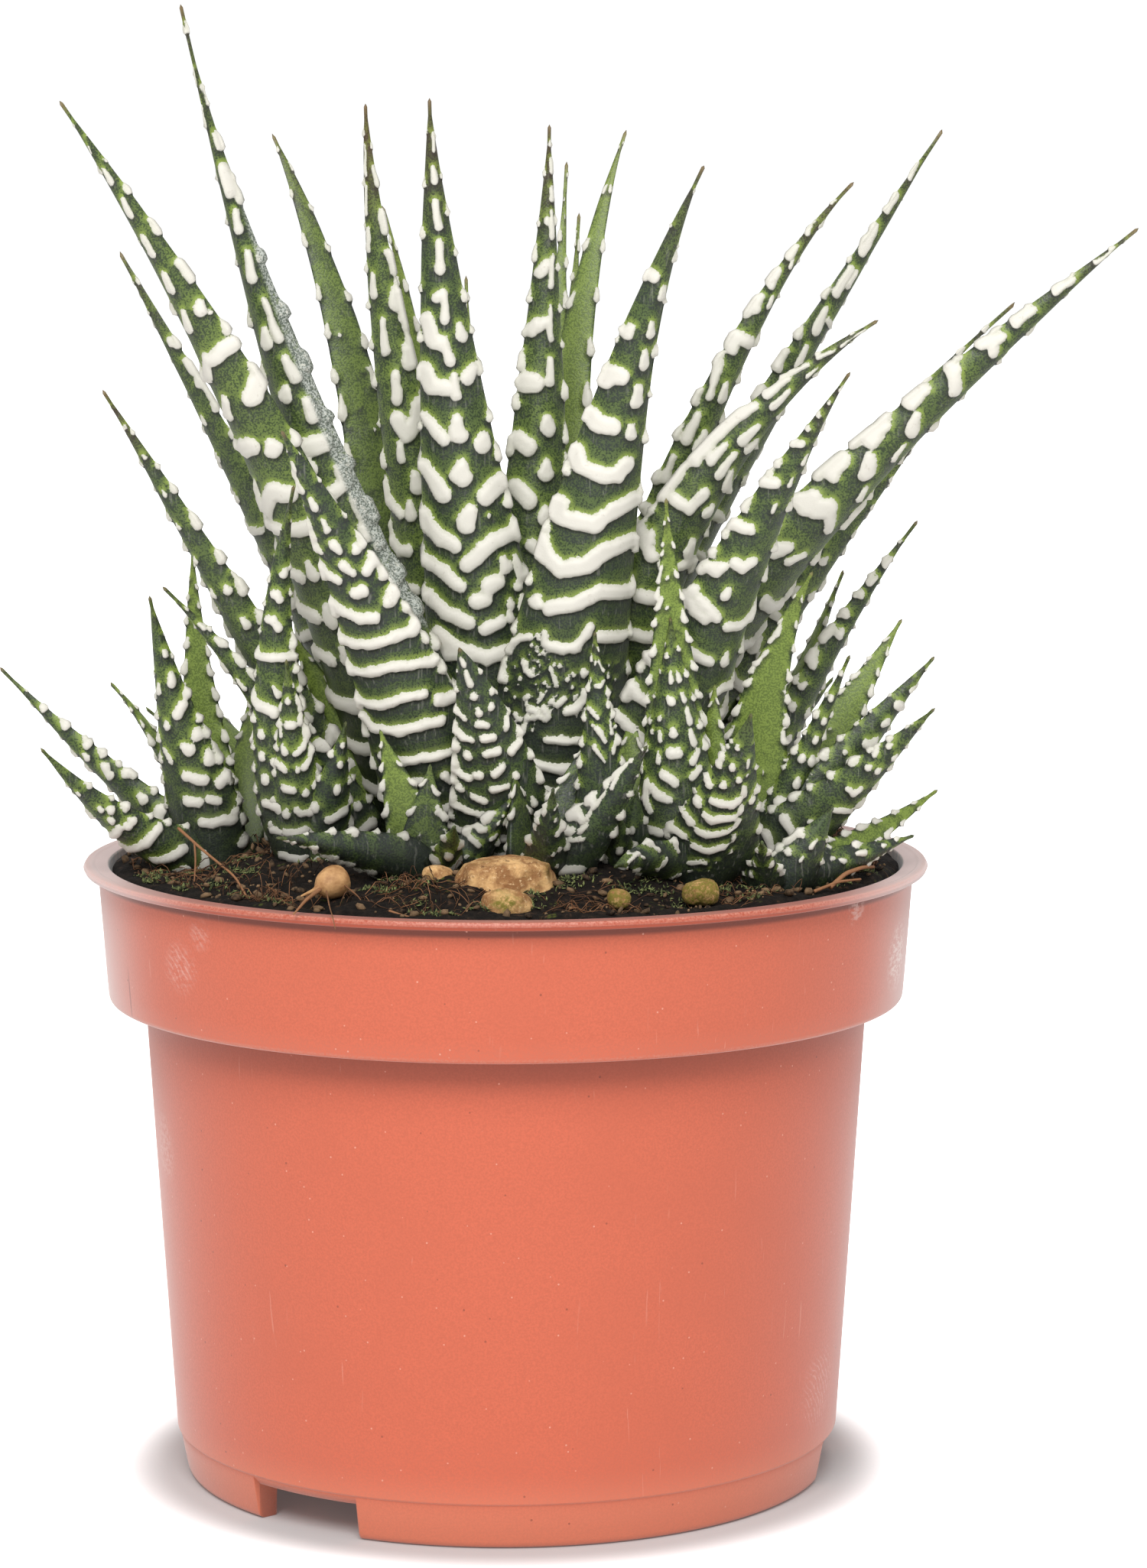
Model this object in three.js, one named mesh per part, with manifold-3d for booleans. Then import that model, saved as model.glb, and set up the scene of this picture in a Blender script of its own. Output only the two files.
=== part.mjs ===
// A zebra haworthia in its plastic nursery pot: a main rosette of long banded leaves, a ring of young
// rosettes round its foot, soil, a few stones and a dry bulb.
// Millimetres, +Z up. Sizes are worked out from the pot's axis, at the height of the surface it stands on.

import * as THREE from 'three';
import { mergeVertices } from 'three/addons/utils/BufferGeometryUtils.js';
import Module from 'manifold-3d';

const wasm = await Module();
wasm.setup();

// Pot: a 10.5 cm nursery pot with a wide collar, a rolled lip and a foot ring
const LIP_RADIUS = 52.5;
const POT_HEIGHT = 77;
const WALL = 1.3;
const LIP_DROP = 1;
const COLLAR_TOP_RADIUS = 50.6;
const COLLAR_FOOT_RADIUS = 49.5;
const COLLAR_FOOT_HEIGHT = 60;
const COLLAR_ROUNDING = 0.8;
const LIP_BEVEL = 0.3;
const BODY_TOP_RADIUS = 45;
const BODY_FOOT_RADIUS = 41.6;
const FOOT_HEIGHT = 5.6;
const FOOT_RADIUS = 40.2;
const FOOT_ROUNDING = 1;
const FOOT_RING_WIDTH = 2.6;
const LEDGE_DEPTH = 0.3;
const LEDGE_RISE = 0.4;
const FLOOR_UNDERSIDE = 4;
const FLOOR_TOP = 5.6;
const POT_SEGMENTS = 34;
const NOTCH_COUNT = 3;
const NOTCH_SPAN_DEG = 22;
const NOTCH_FIRST_DEG = -37;
const NOTCH_HEIGHT = 4.4;
const NOTCH_DEPTH = 4.5;
const DRAIN_RADIUS = 3.5;
const DRAIN_CIRCLE = 31;
const DRAIN_SEGMENTS = 12;

// Soil: a low mound, sunk a little below the lip
const SOIL_EDGE_HEIGHT = 75;
const SOIL_MOUND = 5;
const SOIL_LUMP = 0.6;
const SOIL_RINGS = 5;
const SOIL_SEGMENTS = 24;

// Clearance between two solids that rest against each other
const GAP = 0.3;

// Detail smaller than this is smoothed away after a cut
const SLIVER = 0.05;

// Main rosette
const CROWN = { x: -1, y: -2, foot: 70, shoulder: 78, top: 84, radius: 6.5, topRadius: 3 };
const TUBERCLE_HEIGHT = 0.55;
const TIP_WIDTH = 0.9;
const THICKNESS_SHARE = 0.34;
const THICKNESS_LEAST = 0.8;
const THINNING = 0.8;

// Each leaf of the main rosette: the points that its centre line starts at, bends towards and ends at,
// its greatest width, and the heading of its outer face in degrees (0 = front, 90 = right).
// They stand in the order of growth, from the heart outwards.
const MAIN_LEAVES = {
  leaf_heart_front: {
    base: [1, -6, 78], bend: [-8.5, -9, 143], tip: [-9, -12, 170.5], width: 15.5, face: 0,
  },
  leaf_heart_middle: {
    base: [1, -1, 79], bend: [5, 1.5, 137], tip: [5.5, 4, 167.5], width: 12, face: 5,
  },
  leaf_heart_left: {
    base: [-3, 1, 79], bend: [-16.5, 0.5, 146], tip: [-17, 0, 170], width: 9.5, taper: 0.85, face: -20,
  },
  leaf_heart_back: {
    base: [4.5, 5, 79], bend: [5.5, 14.5, 140], tip: [15.5, 24, 167], width: 10.5, face: 165, bands: 5,
  },
  leaf_big_front: {
    base: [4, -10, 77], bend: [11, -16, 137], tip: [23.5, -22, 162.5], width: 18, taper: 1.15, face: 8,
  },
  leaf_tall_left: {
    base: [-4, -8, 77], bend: [-31, -11, 145], tip: [-38.5, -14, 181.5], width: 15, taper: 1.4, face: -18,
  },
  leaf_slim_back: {
    base: [-4, 6, 78], bend: [-9.5, 11.5, 140], tip: [-15.5, 17, 157.5], width: 8, face: 150, bands: 5,
  },
  leaf_green_back: {
    base: [-10, 6, 77], bend: [-15, 14, 136], tip: [-29.5, 22, 166.5],
    width: 10, taper: 0.85, face: -160, bands: 5,
  },
  leaf_right: {
    base: [5, 0, 78], bend: [24, -2, 142], tip: [42.5, -4, 160.5], width: 8.5, taper: 0.9, face: 30,
  },
  leaf_right_back: {
    base: [6, 5, 77], bend: [10.5, 10.5, 100], tip: [55, 16, 167], width: 12, taper: 0.9, face: 62,
  },
  leaf_low_front: {
    base: [-5, -15, 77], bend: [-11, -24.5, 102], tip: [-26, -34, 132], width: 14.5, taper: 0.9, face: -12,
  },
  leaf_left: {
    base: [-10, -8, 77], bend: [-19, -16.5, 121], tip: [-52, -25, 170], width: 13, face: -28,
  },
  leaf_right_arched: {
    base: [9, -5, 77], bend: [13, -8.5, 124.5], tip: [45, -12, 144], width: 13.5, face: 20,
  },
  leaf_right_front: {
    base: [13, -10, 77], bend: [24.5, -19, 113.5], tip: [40.5, -28, 138.5], width: 15.5, taper: 1.1, face: 18,
  },
  leaf_far_right: {
    base: [12, -4, 77], bend: [14, -7, 105], tip: [76.5, -10, 155], width: 12, face: 32,
  },
  leaf_thin_back: {
    base: [3, 9, 78], bend: [6, 20, 128], tip: [8, 33, 163], width: 6.5, face: 180, bands: 5,
  },
  leaf_short_back: {
    base: [6, 9, 77], bend: [7, 19, 118], tip: [9.5, 26, 156.5], width: 7, face: 170, bands: 5,
  },
  leaf_hidden_back: {
    base: [-1, 9, 77], bend: [-4, 17, 112], tip: [-5, 26, 148.5], width: 7, face: -175, bands: 5,
  },
  leaf_shaded_left: {
    base: [-11, 0, 77], bend: [-17, 2, 97], tip: [-47.5, 4, 152],
    width: 10.5, taper: 0.9, face: -55, bands: 5,
  },
  leaf_thin_right: {
    base: [12, 4, 77], bend: [23, 8, 110], tip: [64, 12, 145.5], width: 7.5, face: 80, bands: 5,
  },
  leaf_shaded_right: {
    base: [11, 1, 76], bend: [38, 2, 113], tip: [53.5, 3, 132], width: 10, face: 45, bands: 5,
  },
  leaf_low_left: {
    base: [-15, -5, 76], bend: [-30, -11.5, 106], tip: [-48, -18, 136], width: 8, taper: 0.9, face: -35,
  },
  leaf_stub_front: {
    base: [0, -19, 76], bend: [0, -25.5, 91], tip: [-5.5, -32, 106.5], width: 13, taper: 0.8, face: 0,
  },
  leaf_back_left: {
    base: [-8, 10, 76], bend: [-16, 26, 104], tip: [-24, 47, 122], width: 11, face: -150, bands: 5,
  },
  leaf_back: {
    base: [0, 12, 76], bend: [3, 30, 106], tip: [2, 52, 124], width: 12, face: 178, bands: 5,
  },
  leaf_back_right: {
    base: [9, 10, 76], bend: [17, 26, 102], tip: [26, 46, 120], width: 11, face: 150, bands: 5,
  },
};
const KNOBS_FROM = 0.55;
const MAIN_BANDS = 7;
const MAIN_PLAIN = 0.08;

// Young rosettes: where the stem of each stands and the height that its leaves start at. A leaf has its
// tip, its width, how far its bend sways to the right of the straight line and lifts above it, and a
// heading where its outer face doesn't look away from the stem.
const YOUNG_ROSETTES = {
  young_far_left: {
    stem: [-33.5, -8, 78],
    leaves: [
      { tip: [-43, -14, 111], width: 10, sway: -1, taper: 1.1, face: -14 },
      { tip: [-62, -6, 101.5], width: 5.5, lift: -2, face: -45 },
      { tip: [-56, -18, 93], width: 7.5, lift: -5.5, face: -32 },
      { tip: [-49, 0, 99], width: 5.5, lift: 4, face: -120 },
      { tip: [-38.5, -2, 116], width: 7, sway: -2, face: 170 },
      { tip: [-31, 5, 100], width: 7 },
    ],
  },
  young_left: {
    stem: [-24, -17, 78],
    leaves: [
      { tip: [-25, -24, 125], width: 8, sway: -5.5, face: -5 },
      { tip: [-26, -26, 104.5], width: 7.5, face: 0 },
      { tip: [-32, -8, 102], width: 7 },
      { tip: [-19, -25, 97], width: 7.5, face: 15 },
    ],
  },
  young_left_inner: {
    stem: [-17, -11, 80],
    leaves: [
      { tip: [-26.5, -9, 106.5], width: 8.5, sway: 4, face: 175 },
      { tip: [-24, -17, 96], width: 9, face: -10 },
      { tip: [-41.5, -13, 112], width: 5.5, lift: 5, face: -25 },
      { tip: [-24, 2, 102], width: 8 },
    ],
  },
  young_bright_front: {
    stem: [-8, -26, 79.5],
    leaves: [
      { tip: [-15, -25, 96], width: 7, face: 180 },
      { tip: [-9, -26, 92], width: 6.5, face: 180 },
      { tip: [1, -28, 88.5], width: 5.5, lift: -1, face: 15 },
      { tip: [-27, -36, 84.5], width: 7, lift: 1.5, face: -30 },
      { tip: [-6, -36, 86], width: 5 },
    ],
  },
  young_front: {
    stem: [4, -29, 79.5],
    leaves: [
      { tip: [16.5, -37, 95.5], width: 7.5, lift: -1.5, face: -10 },
      { tip: [5.5, -40, 91], width: 6, lift: -1.5, face: 0 },
      { tip: [10.5, -23.5, 96], width: 8, face: 180 },
      { tip: [1, -27, 92], width: 6.5 },
    ],
  },
  young_front_right: {
    stem: [13, -25, 79.5],
    leaves: [
      { tip: [10.5, -28, 108], width: 7.5, face: 0 },
      { tip: [15.5, -30, 89.5], width: 7, face: 10 },
      { tip: [13.5, -34, 87], width: 5.5, lift: -1 },
      { tip: [15.5, -17, 98], width: 7.5 },
    ],
  },
  young_right_front: {
    stem: [22.5, -25, 79],
    leaves: [
      { tip: [19.5, -26, 109.5], width: 11, face: -6 },
      { tip: [28.5, -39, 99.5], width: 12, lift: -1.5, face: 6 },
      { tip: [19, -25, 123.5], width: 9, face: 180 },
      { tip: [12.5, -40, 81.5], width: 8, lift: 3, face: -20 },
      { tip: [25, -22, 101], width: 8, face: 165 },
    ],
  },
  young_right: {
    stem: [29, -15, 79],
    leaves: [
      { tip: [37, -16, 114], width: 9.5, sway: -6, face: 175 },
      { tip: [48.5, -8, 107.5], width: 8.5, face: 165 },
      { tip: [52, -14, 103.5], width: 8.5, face: 30 },
      { tip: [51.5, -21, 98], width: 8.5, lift: -1, face: 22 },
      { tip: [41.5, -17, 104], width: 5, face: 10 },
    ],
  },
  young_right_back: {
    stem: [27, 3, 79],
    leaves: [
      { tip: [51.5, 6, 118.5], width: 6.5, sway: -4, face: 40 },
      { tip: [42.5, 10, 112], width: 7 },
      { tip: [46, 17, 98], width: 8 },
      { tip: [25, 20, 98], width: 8.5 },
      { tip: [30, 1, 103], width: 8 },
    ],
  },
  young_far_right: {
    stem: [31, -25, 77],
    leaves: [
      { tip: [53, -9, 86.5], width: 5.5, lift: -1.5, face: 165 },
      { tip: [49.5, -17, 82], width: 6, face: 25 },
      { tip: [39, -27, 87], width: 7, face: 12 },
      { tip: [30, -35, 84], width: 5.5 },
    ],
  },
  young_back_left: {
    stem: [-24, 20, 77],
    leaves: [
      { tip: [-28, 17, 108], width: 9.5 },
      { tip: [-42, 32, 96], width: 9.5 },
      { tip: [-25, 40, 100], width: 10 },
      { tip: [-46, 17, 94], width: 8.5 },
      { tip: [-13, 34, 96], width: 8.5 },
    ],
  },
  young_back: {
    stem: [4, 33, 76],
    leaves: [
      { tip: [5, 36, 104], width: 9 },
      { tip: [-9, 47, 94], width: 9 },
      { tip: [7, 53, 96], width: 9.5 },
      { tip: [19, 44, 92], width: 8.5 },
    ],
  },
  young_back_right: {
    stem: [24, 27, 77],
    leaves: [
      { tip: [27, 30, 104], width: 9 },
      { tip: [43, 33, 96], width: 9 },
      { tip: [31, 47, 96], width: 9.5 },
      { tip: [14, 41, 92], width: 8 },
    ],
  },
};
const YOUNG_STEM_RADIUS = 3.4;
const YOUNG_STEM_DEPTH = 4;
const YOUNG_FOOT = 1.8;
const YOUNG_BANDS = 3;
const YOUNG_PLAIN = 0.2;
const STEM_SEGMENTS = 8;

// Stones: where the middle of each lies, its half sizes, its turn about +Z and a number for its bumps
const STONES = {
  stone_big: { at: [0, -35, 78.4], half: [6.3, 4.2, 3.7], turn: 8, bumps: 1 },
  stone_low: { at: [0, -42, 77.2], half: [3.4, 2.6, 2.1], turn: -14, bumps: 2 },
  stone_small: { at: [-8, -33.6, 79.6], half: [2, 1.6, 1.3], turn: 20, bumps: 3 },
  stone_mossy_left: { at: [13.1, -41, 77.9], half: [1.3, 1.2, 1.3], turn: 0, bumps: 4 },
  stone_mossy_right: { at: [22.8, -37.6, 78.2], half: [2.2, 1.9, 1.7], turn: 35, bumps: 5 },
};
const BULB = { at: [-20.3, -37, 79.4], radius: 2.1, tail: [-3.6, -3, -1.2] };

// Colours of the finishes
const COLOURS = {
  pot: 0xd9694a,
  soil: 0x3a2b20,
  leaf: 0x3f6a35,
  young: 0x5d8a3a,
  stone: 0xc69a66,
  bulb: 0xc99b5e,
};

const radians = THREE.MathUtils.degToRad;

// A closed solid from a geometry, with its shared corners merged
function solidOf(geometry) {
  geometry.deleteAttribute('normal');
  geometry.deleteAttribute('uv');
  const merged = mergeVertices(geometry, 1e-4);
  return new wasm.Manifold(new wasm.Mesh({
    numProp: 3,
    vertProperties: new Float32Array(merged.attributes.position.array),
    triVerts: new Uint32Array(merged.index.array),
  }));
}

// The named mesh of a solid, which is tidied of slivers and kept to its largest piece
function meshOf(name, solid, colour, roughness) {
  const pieces = solid.simplify(SLIVER).decompose();
  const body = pieces.reduce((a, b) => (b.volume() > a.volume() ? b : a));
  const { vertProperties, triVerts } = body.getMesh();
  const geometry = new THREE.BufferGeometry();
  geometry.setAttribute('position', new THREE.BufferAttribute(new Float32Array(vertProperties), 3));
  geometry.setIndex(new THREE.BufferAttribute(new Uint32Array(triVerts), 1));
  geometry.computeVertexNormals();
  const material = new THREE.MeshStandardMaterial({ color: colour, roughness, metalness: 0 });
  const mesh = new THREE.Mesh(geometry, material);
  mesh.name = name;
  return mesh;
}

// A solid turned on the pot's axis from a profile of [radius, height] points
function turned(profile, segments, x = 0, y = 0) {
  const points = profile.map(([radius, height]) => new THREE.Vector2(radius, height));
  const geometry = new THREE.LatheGeometry(points, segments);
  geometry.rotateX(Math.PI / 2);
  geometry.translate(x, y, 0);
  const solid = solidOf(geometry);
  if (solid.volume() > 0) {
    return solid;
  }
  geometry.index.array.reverse();
  return solidOf(geometry);
}

// Outer radius of the pot's wall, inside the collar and below it
function innerRadius(height) {
  if (height > COLLAR_FOOT_HEIGHT + WALL) {
    const share = (height - COLLAR_FOOT_HEIGHT) / (POT_HEIGHT - COLLAR_FOOT_HEIGHT);
    return COLLAR_FOOT_RADIUS + share * (COLLAR_TOP_RADIUS - COLLAR_FOOT_RADIUS) - WALL;
  }
  const share = (height - FOOT_HEIGHT) / (COLLAR_FOOT_HEIGHT - FOOT_HEIGHT);
  return BODY_FOOT_RADIUS + share * (BODY_TOP_RADIUS - BODY_FOOT_RADIUS) - WALL;
}

function pot() {
  const ringInner = FOOT_RADIUS - FOOT_RING_WIDTH;
  const shoulder = COLLAR_FOOT_HEIGHT + WALL;
  const shell = turned([
    [0, FLOOR_UNDERSIDE],
    [ringInner, FLOOR_UNDERSIDE],
    [ringInner, 0],
    [FOOT_RADIUS - FOOT_ROUNDING, 0],
    [FOOT_RADIUS, FOOT_ROUNDING],
    [BODY_FOOT_RADIUS - LEDGE_DEPTH, FOOT_HEIGHT],
    [BODY_FOOT_RADIUS, FOOT_HEIGHT + LEDGE_RISE],
    [BODY_TOP_RADIUS, COLLAR_FOOT_HEIGHT],
    [COLLAR_FOOT_RADIUS - COLLAR_ROUNDING, COLLAR_FOOT_HEIGHT],
    [COLLAR_FOOT_RADIUS, COLLAR_FOOT_HEIGHT + COLLAR_ROUNDING],
    [COLLAR_TOP_RADIUS, POT_HEIGHT - LIP_DROP - LIP_BEVEL],
    [LIP_RADIUS, POT_HEIGHT - LIP_DROP],
    [LIP_RADIUS - LIP_BEVEL, POT_HEIGHT],
    [innerRadius(POT_HEIGHT), POT_HEIGHT],
    [innerRadius(shoulder + 0.1), shoulder],
    [innerRadius(shoulder - 0.1), shoulder],
    [innerRadius(FLOOR_TOP), FLOOR_TOP],
    [0, FLOOR_TOP],
  ], POT_SEGMENTS);
  let cut = shell;
  for (let i = 0; i < NOTCH_COUNT; i += 1) {
    const heading = radians(NOTCH_FIRST_DEG + (i * 360) / NOTCH_COUNT);
    const width = 2 * FOOT_RADIUS * Math.sin(radians(NOTCH_SPAN_DEG / 2));
    const notch = new THREE.BoxGeometry(width, 2 * NOTCH_DEPTH, 2 * NOTCH_HEIGHT);
    notch.translate(0, -FOOT_RADIUS, 0);
    notch.rotateZ(heading);
    const drain = new THREE.CylinderGeometry(DRAIN_RADIUS, DRAIN_RADIUS, FLOOR_TOP, DRAIN_SEGMENTS);
    drain.rotateX(Math.PI / 2);
    drain.translate(0, -DRAIN_CIRCLE, FLOOR_TOP);
    drain.rotateZ(heading);
    cut = cut.subtract(solidOf(notch)).subtract(solidOf(drain));
  }
  return cut;
}

// Height of the soil at a place: a mound that falls off towards the wall, with low lumps
function soilHeight(x, y) {
  const share = Math.min(1, Math.hypot(x, y) / innerRadius(SOIL_EDGE_HEIGHT));
  const lumps = Math.sin(x * 0.31 + 1) * Math.cos(y * 0.27) + Math.sin(x * 0.13 - y * 0.22);
  return SOIL_EDGE_HEIGHT + SOIL_MOUND * (1 - share ** 4) + SOIL_LUMP * lumps * (1 - share ** 6);
}

// Height of the floor of a young rosette's pocket
function stemFoot(x, y) {
  return soilHeight(x, y) - YOUNG_STEM_DEPTH;
}

// The soil fills the pot up to its mound. Raised by a clearance, the same form cuts what stands in it.
function soil(raise) {
  const clear = GAP - raise;
  const shoulder = COLLAR_FOOT_HEIGHT + WALL + GAP;
  const profile = [[0, FLOOR_TOP + GAP], [innerRadius(FLOOR_TOP) - clear, FLOOR_TOP + GAP]];
  profile.push([innerRadius(shoulder - 0.5) - clear, shoulder]);
  profile.push([innerRadius(shoulder) - clear, shoulder]);
  const edge = innerRadius(SOIL_EDGE_HEIGHT) - clear;
  for (let i = SOIL_RINGS; i >= 0; i -= 1) {
    profile.push([(edge * i) / SOIL_RINGS, SOIL_EDGE_HEIGHT]);
  }
  return turned(profile, SOIL_SEGMENTS).warp((vertex) => {
    if (vertex[2] > SOIL_EDGE_HEIGHT - 1) {
      vertex[2] = soilHeight(vertex[0], vertex[1]) + raise;
    }
  });
}

// A round pocket in the soil, for a stem to stand in
function pocket(x, y, radius, floor) {
  const top = POT_HEIGHT + 10;
  return turned([[0, floor], [radius, floor], [radius, top], [0, top]], STEM_SEGMENTS, x, y);
}

// Width of a leaf at a share of its length, as a share of its greatest width: it narrows in nearly
// straight sides to the tip, is full over its lower third and draws in a little at its foot.
function widthShare(along, taper) {
  const left = 1 - along;
  const sides = 1.3 * left ** taper - 0.3 * left ** 6;
  const foot = 0.72 + 0.28 * THREE.MathUtils.smoothstep(along, 0, 0.2);
  return sides * foot;
}

// Cross sections as [share of the half width, share of the thickness, share of the relief, is a margin].
// The outer face is a blunt keel and the inner face is nearly flat.
const MAIN_SECTION = [
  [-1, 0, 0.7], [-0.55, 0.6, 1], [0, 0.82, 1], [0.55, 0.6, 1], [1, 0, 0.7], [0, -0.18, 0],
];
const YOUNG_SECTION = [[-1, 0, 0.7], [-0.4, 0.74, 1], [0.4, 0.74, 1], [1, 0, 0.7], [0, -0.22, 0]];

// A leaf along a quadratic Bezier centre line. Its outer face and margins carry raised bands, two rings
// of corners to each band. Past the middle the bands break up into knobs, left and right by turns.
function leaf({ base, bend, tip, width, taper = 1, face }, section, bands, relief, plain, grow = 0) {
  const curve = new THREE.QuadraticBezierCurve3(
    new THREE.Vector3(...base), new THREE.Vector3(...bend), new THREE.Vector3(...tip));
  const outward = new THREE.Vector3(Math.sin(radians(face)), -Math.cos(radians(face)), 0);
  const thickness = THICKNESS_SHARE * width + THICKNESS_LEAST;
  const rings = 2 * bands + 2;
  const positions = [];
  for (let i = 0; i <= rings; i += 1) {
    const crest = i % 2 === 1;
    const step = (i - (crest ? 0.35 : 0)) / (rings + 0.8);
    const along = i === 0 ? 0 : plain + (1 - plain) * step;
    const middle = curve.getPointAt(along);
    const tangent = curve.getTangentAt(along);
    const normal = outward.clone().addScaledVector(tangent, -outward.dot(tangent)).normalize();
    const side = new THREE.Vector3().crossVectors(tangent, normal);
    const half = Math.max(TIP_WIDTH, width * widthShare(along, taper)) / 2 + grow;
    const thick = Math.max(TIP_WIDTH, thickness * (1 - along) ** THINNING) + grow;
    section.forEach(([across, deep, share], k) => {
      const knob = along < KNOBS_FROM || (k + (i >> 1)) % 2 === 0;
      const fade = Math.min(1, 3 * (1 - along));
      const raised = crest && knob ? relief * share * fade : 0;
      const u = across * half + Math.sign(across) * (Math.abs(across) === 1 ? raised : 0);
      const v = deep * thick + Math.sign(deep) * (grow + (Math.abs(across) === 1 ? 0 : raised));
      const point = middle.clone().addScaledVector(side, u).addScaledVector(normal, v);
      positions.push(point.x, point.y, point.z);
    });
  }
  const count = section.length;
  const footIndex = positions.length / 3;
  const foot = curve.getPointAt(0);
  const point = curve.getPointAt(1);
  positions.push(foot.x, foot.y, foot.z, point.x, point.y, point.z);
  const triangles = [];
  for (let k = 0; k < count; k += 1) {
    const next = (k + 1) % count;
    triangles.push(footIndex, next, k);
    for (let i = 0; i < rings; i += 1) {
      const low = i * count;
      const high = low + count;
      triangles.push(low + k, low + next, high + next, low + k, high + next, high + k);
    }
    triangles.push(rings * count + k, rings * count + next, footIndex + 1);
  }
  const geometry = new THREE.BufferGeometry();
  geometry.setAttribute('position', new THREE.BufferAttribute(new Float32Array(positions), 3));
  geometry.setIndex(triangles);
  const solid = solidOf(geometry);
  if (solid.volume() > 0) {
    return solid;
  }
  geometry.index.array.reverse();
  return solidOf(geometry);
}

// A plain, slightly larger copy of a leaf, which cuts its neighbours so that they clear it
function leafCutter(shape, section) {
  return leaf(shape, section, 3, 0, 0, GAP + TUBERCLE_HEIGHT);
}

// The leaves of a young rosette start round its stem and lift away from it
function youngLeaves({ stem: [x, y, start], leaves }) {
  return leaves.map(({ tip, width, sway = 0, lift = 0, taper = 1, face }) => {
    const reach = Math.hypot(tip[0] - x, tip[1] - y) || 1;
    const outX = (tip[0] - x) / reach;
    const outY = (tip[1] - y) / reach;
    const base = [x + YOUNG_FOOT * outX, y + YOUNG_FOOT * outY, start];
    const bend = base.map((value, i) => (value + tip[i]) / 2 + [sway, 0, lift][i]);
    const heading = face ?? THREE.MathUtils.radToDeg(Math.atan2(outX, -outY));
    return { base, bend, tip, width, taper, face: heading };
  });
}

// The stem of a young rosette stands in its pocket and ends in a blunt cone among the leaves
function youngStem({ stem: [x, y, start] }, grow) {
  const foot = stemFoot(x, y);
  const radius = YOUNG_STEM_RADIUS + grow;
  const profile = [[0, foot], [radius, foot], [radius, start], [radius * 0.6, start + 3], [0, start + 3]];
  return turned(profile, STEM_SEGMENTS, x, y);
}

// A stone: a faceted ball pressed to its three half sizes and dented by a few waves
function stone({ at, half, turn, bumps }) {
  const geometry = new THREE.IcosahedronGeometry(1, 1);
  const place = geometry.attributes.position;
  const corner = new THREE.Vector3();
  for (let i = 0; i < place.count; i += 1) {
    corner.fromBufferAttribute(place, i);
    const broad = Math.sin(3.1 * corner.x + bumps);
    const fine = Math.cos(2.7 * corner.y - bumps) * Math.sin(2.3 * corner.z + bumps);
    corner.multiplyScalar(1 + 0.09 * (broad + fine));
    place.setXYZ(i, corner.x * half[0], corner.y * half[1], corner.z * half[2]);
  }
  geometry.rotateZ(radians(turn));
  geometry.translate(...at);
  return solidOf(geometry);
}

// The dry bulb: a round body that draws out into a short root
function bulb() {
  const { at, radius, tail } = BULB;
  const length = Math.hypot(...tail);
  const profile = [
    [0, -radius], [0.7 * radius, -0.75 * radius], [radius, 0], [0.75 * radius, 0.75 * radius],
    [0.4, 0.55 * length], [0.35, length], [0, length],
  ];
  const geometry = new THREE.LatheGeometry(profile.map(([r, h]) => new THREE.Vector2(r, h)), 10);
  geometry.applyQuaternion(new THREE.Quaternion().setFromUnitVectors(
    new THREE.Vector3(0, 1, 0), new THREE.Vector3(...tail).normalize()));
  geometry.translate(...at);
  return solidOf(geometry);
}

const plant = new THREE.Group();

const potSolid = pot();
plant.add(meshOf('pot', potSolid, COLOURS.pot, 0.42));

// Pockets for the stems, in the soil and, narrower by the clearance, in its raised copy
let soilSolid = soil(0);
let soilCutter = soil(GAP);
soilSolid = soilSolid.subtract(pocket(CROWN.x, CROWN.y, CROWN.radius + GAP, CROWN.foot - GAP));
soilCutter = soilCutter.subtract(pocket(CROWN.x, CROWN.y, CROWN.radius, CROWN.foot));
for (const { stem: [x, y] } of Object.values(YOUNG_ROSETTES)) {
  const foot = stemFoot(x, y);
  soilSolid = soilSolid.subtract(pocket(x, y, YOUNG_STEM_RADIUS + GAP, foot - GAP));
  soilCutter = soilCutter.subtract(pocket(x, y, YOUNG_STEM_RADIUS, foot));
}

// The leaves of the main rosette, from the heart outwards: each is cut clear of those already placed
const crownProfile = (grow) => [
  [0, CROWN.foot - grow], [CROWN.radius + grow, CROWN.foot - grow], [CROWN.radius + grow, CROWN.shoulder],
  [CROWN.topRadius + grow, CROWN.top + grow], [0, CROWN.top + grow],
];
plant.add(meshOf('crown', turned(crownProfile(0), STEM_SEGMENTS, CROWN.x, CROWN.y), COLOURS.young, 0.6));
let placed = soilCutter.add(turned(crownProfile(GAP), STEM_SEGMENTS, CROWN.x, CROWN.y));
for (const [name, shape] of Object.entries(MAIN_LEAVES)) {
  const solid = leaf(shape, MAIN_SECTION, shape.bands ?? MAIN_BANDS, TUBERCLE_HEIGHT, MAIN_PLAIN);
  plant.add(meshOf(name, solid.subtract(placed), COLOURS.leaf, 0.5));
  placed = placed.add(leafCutter(shape, MAIN_SECTION));
}

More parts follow.
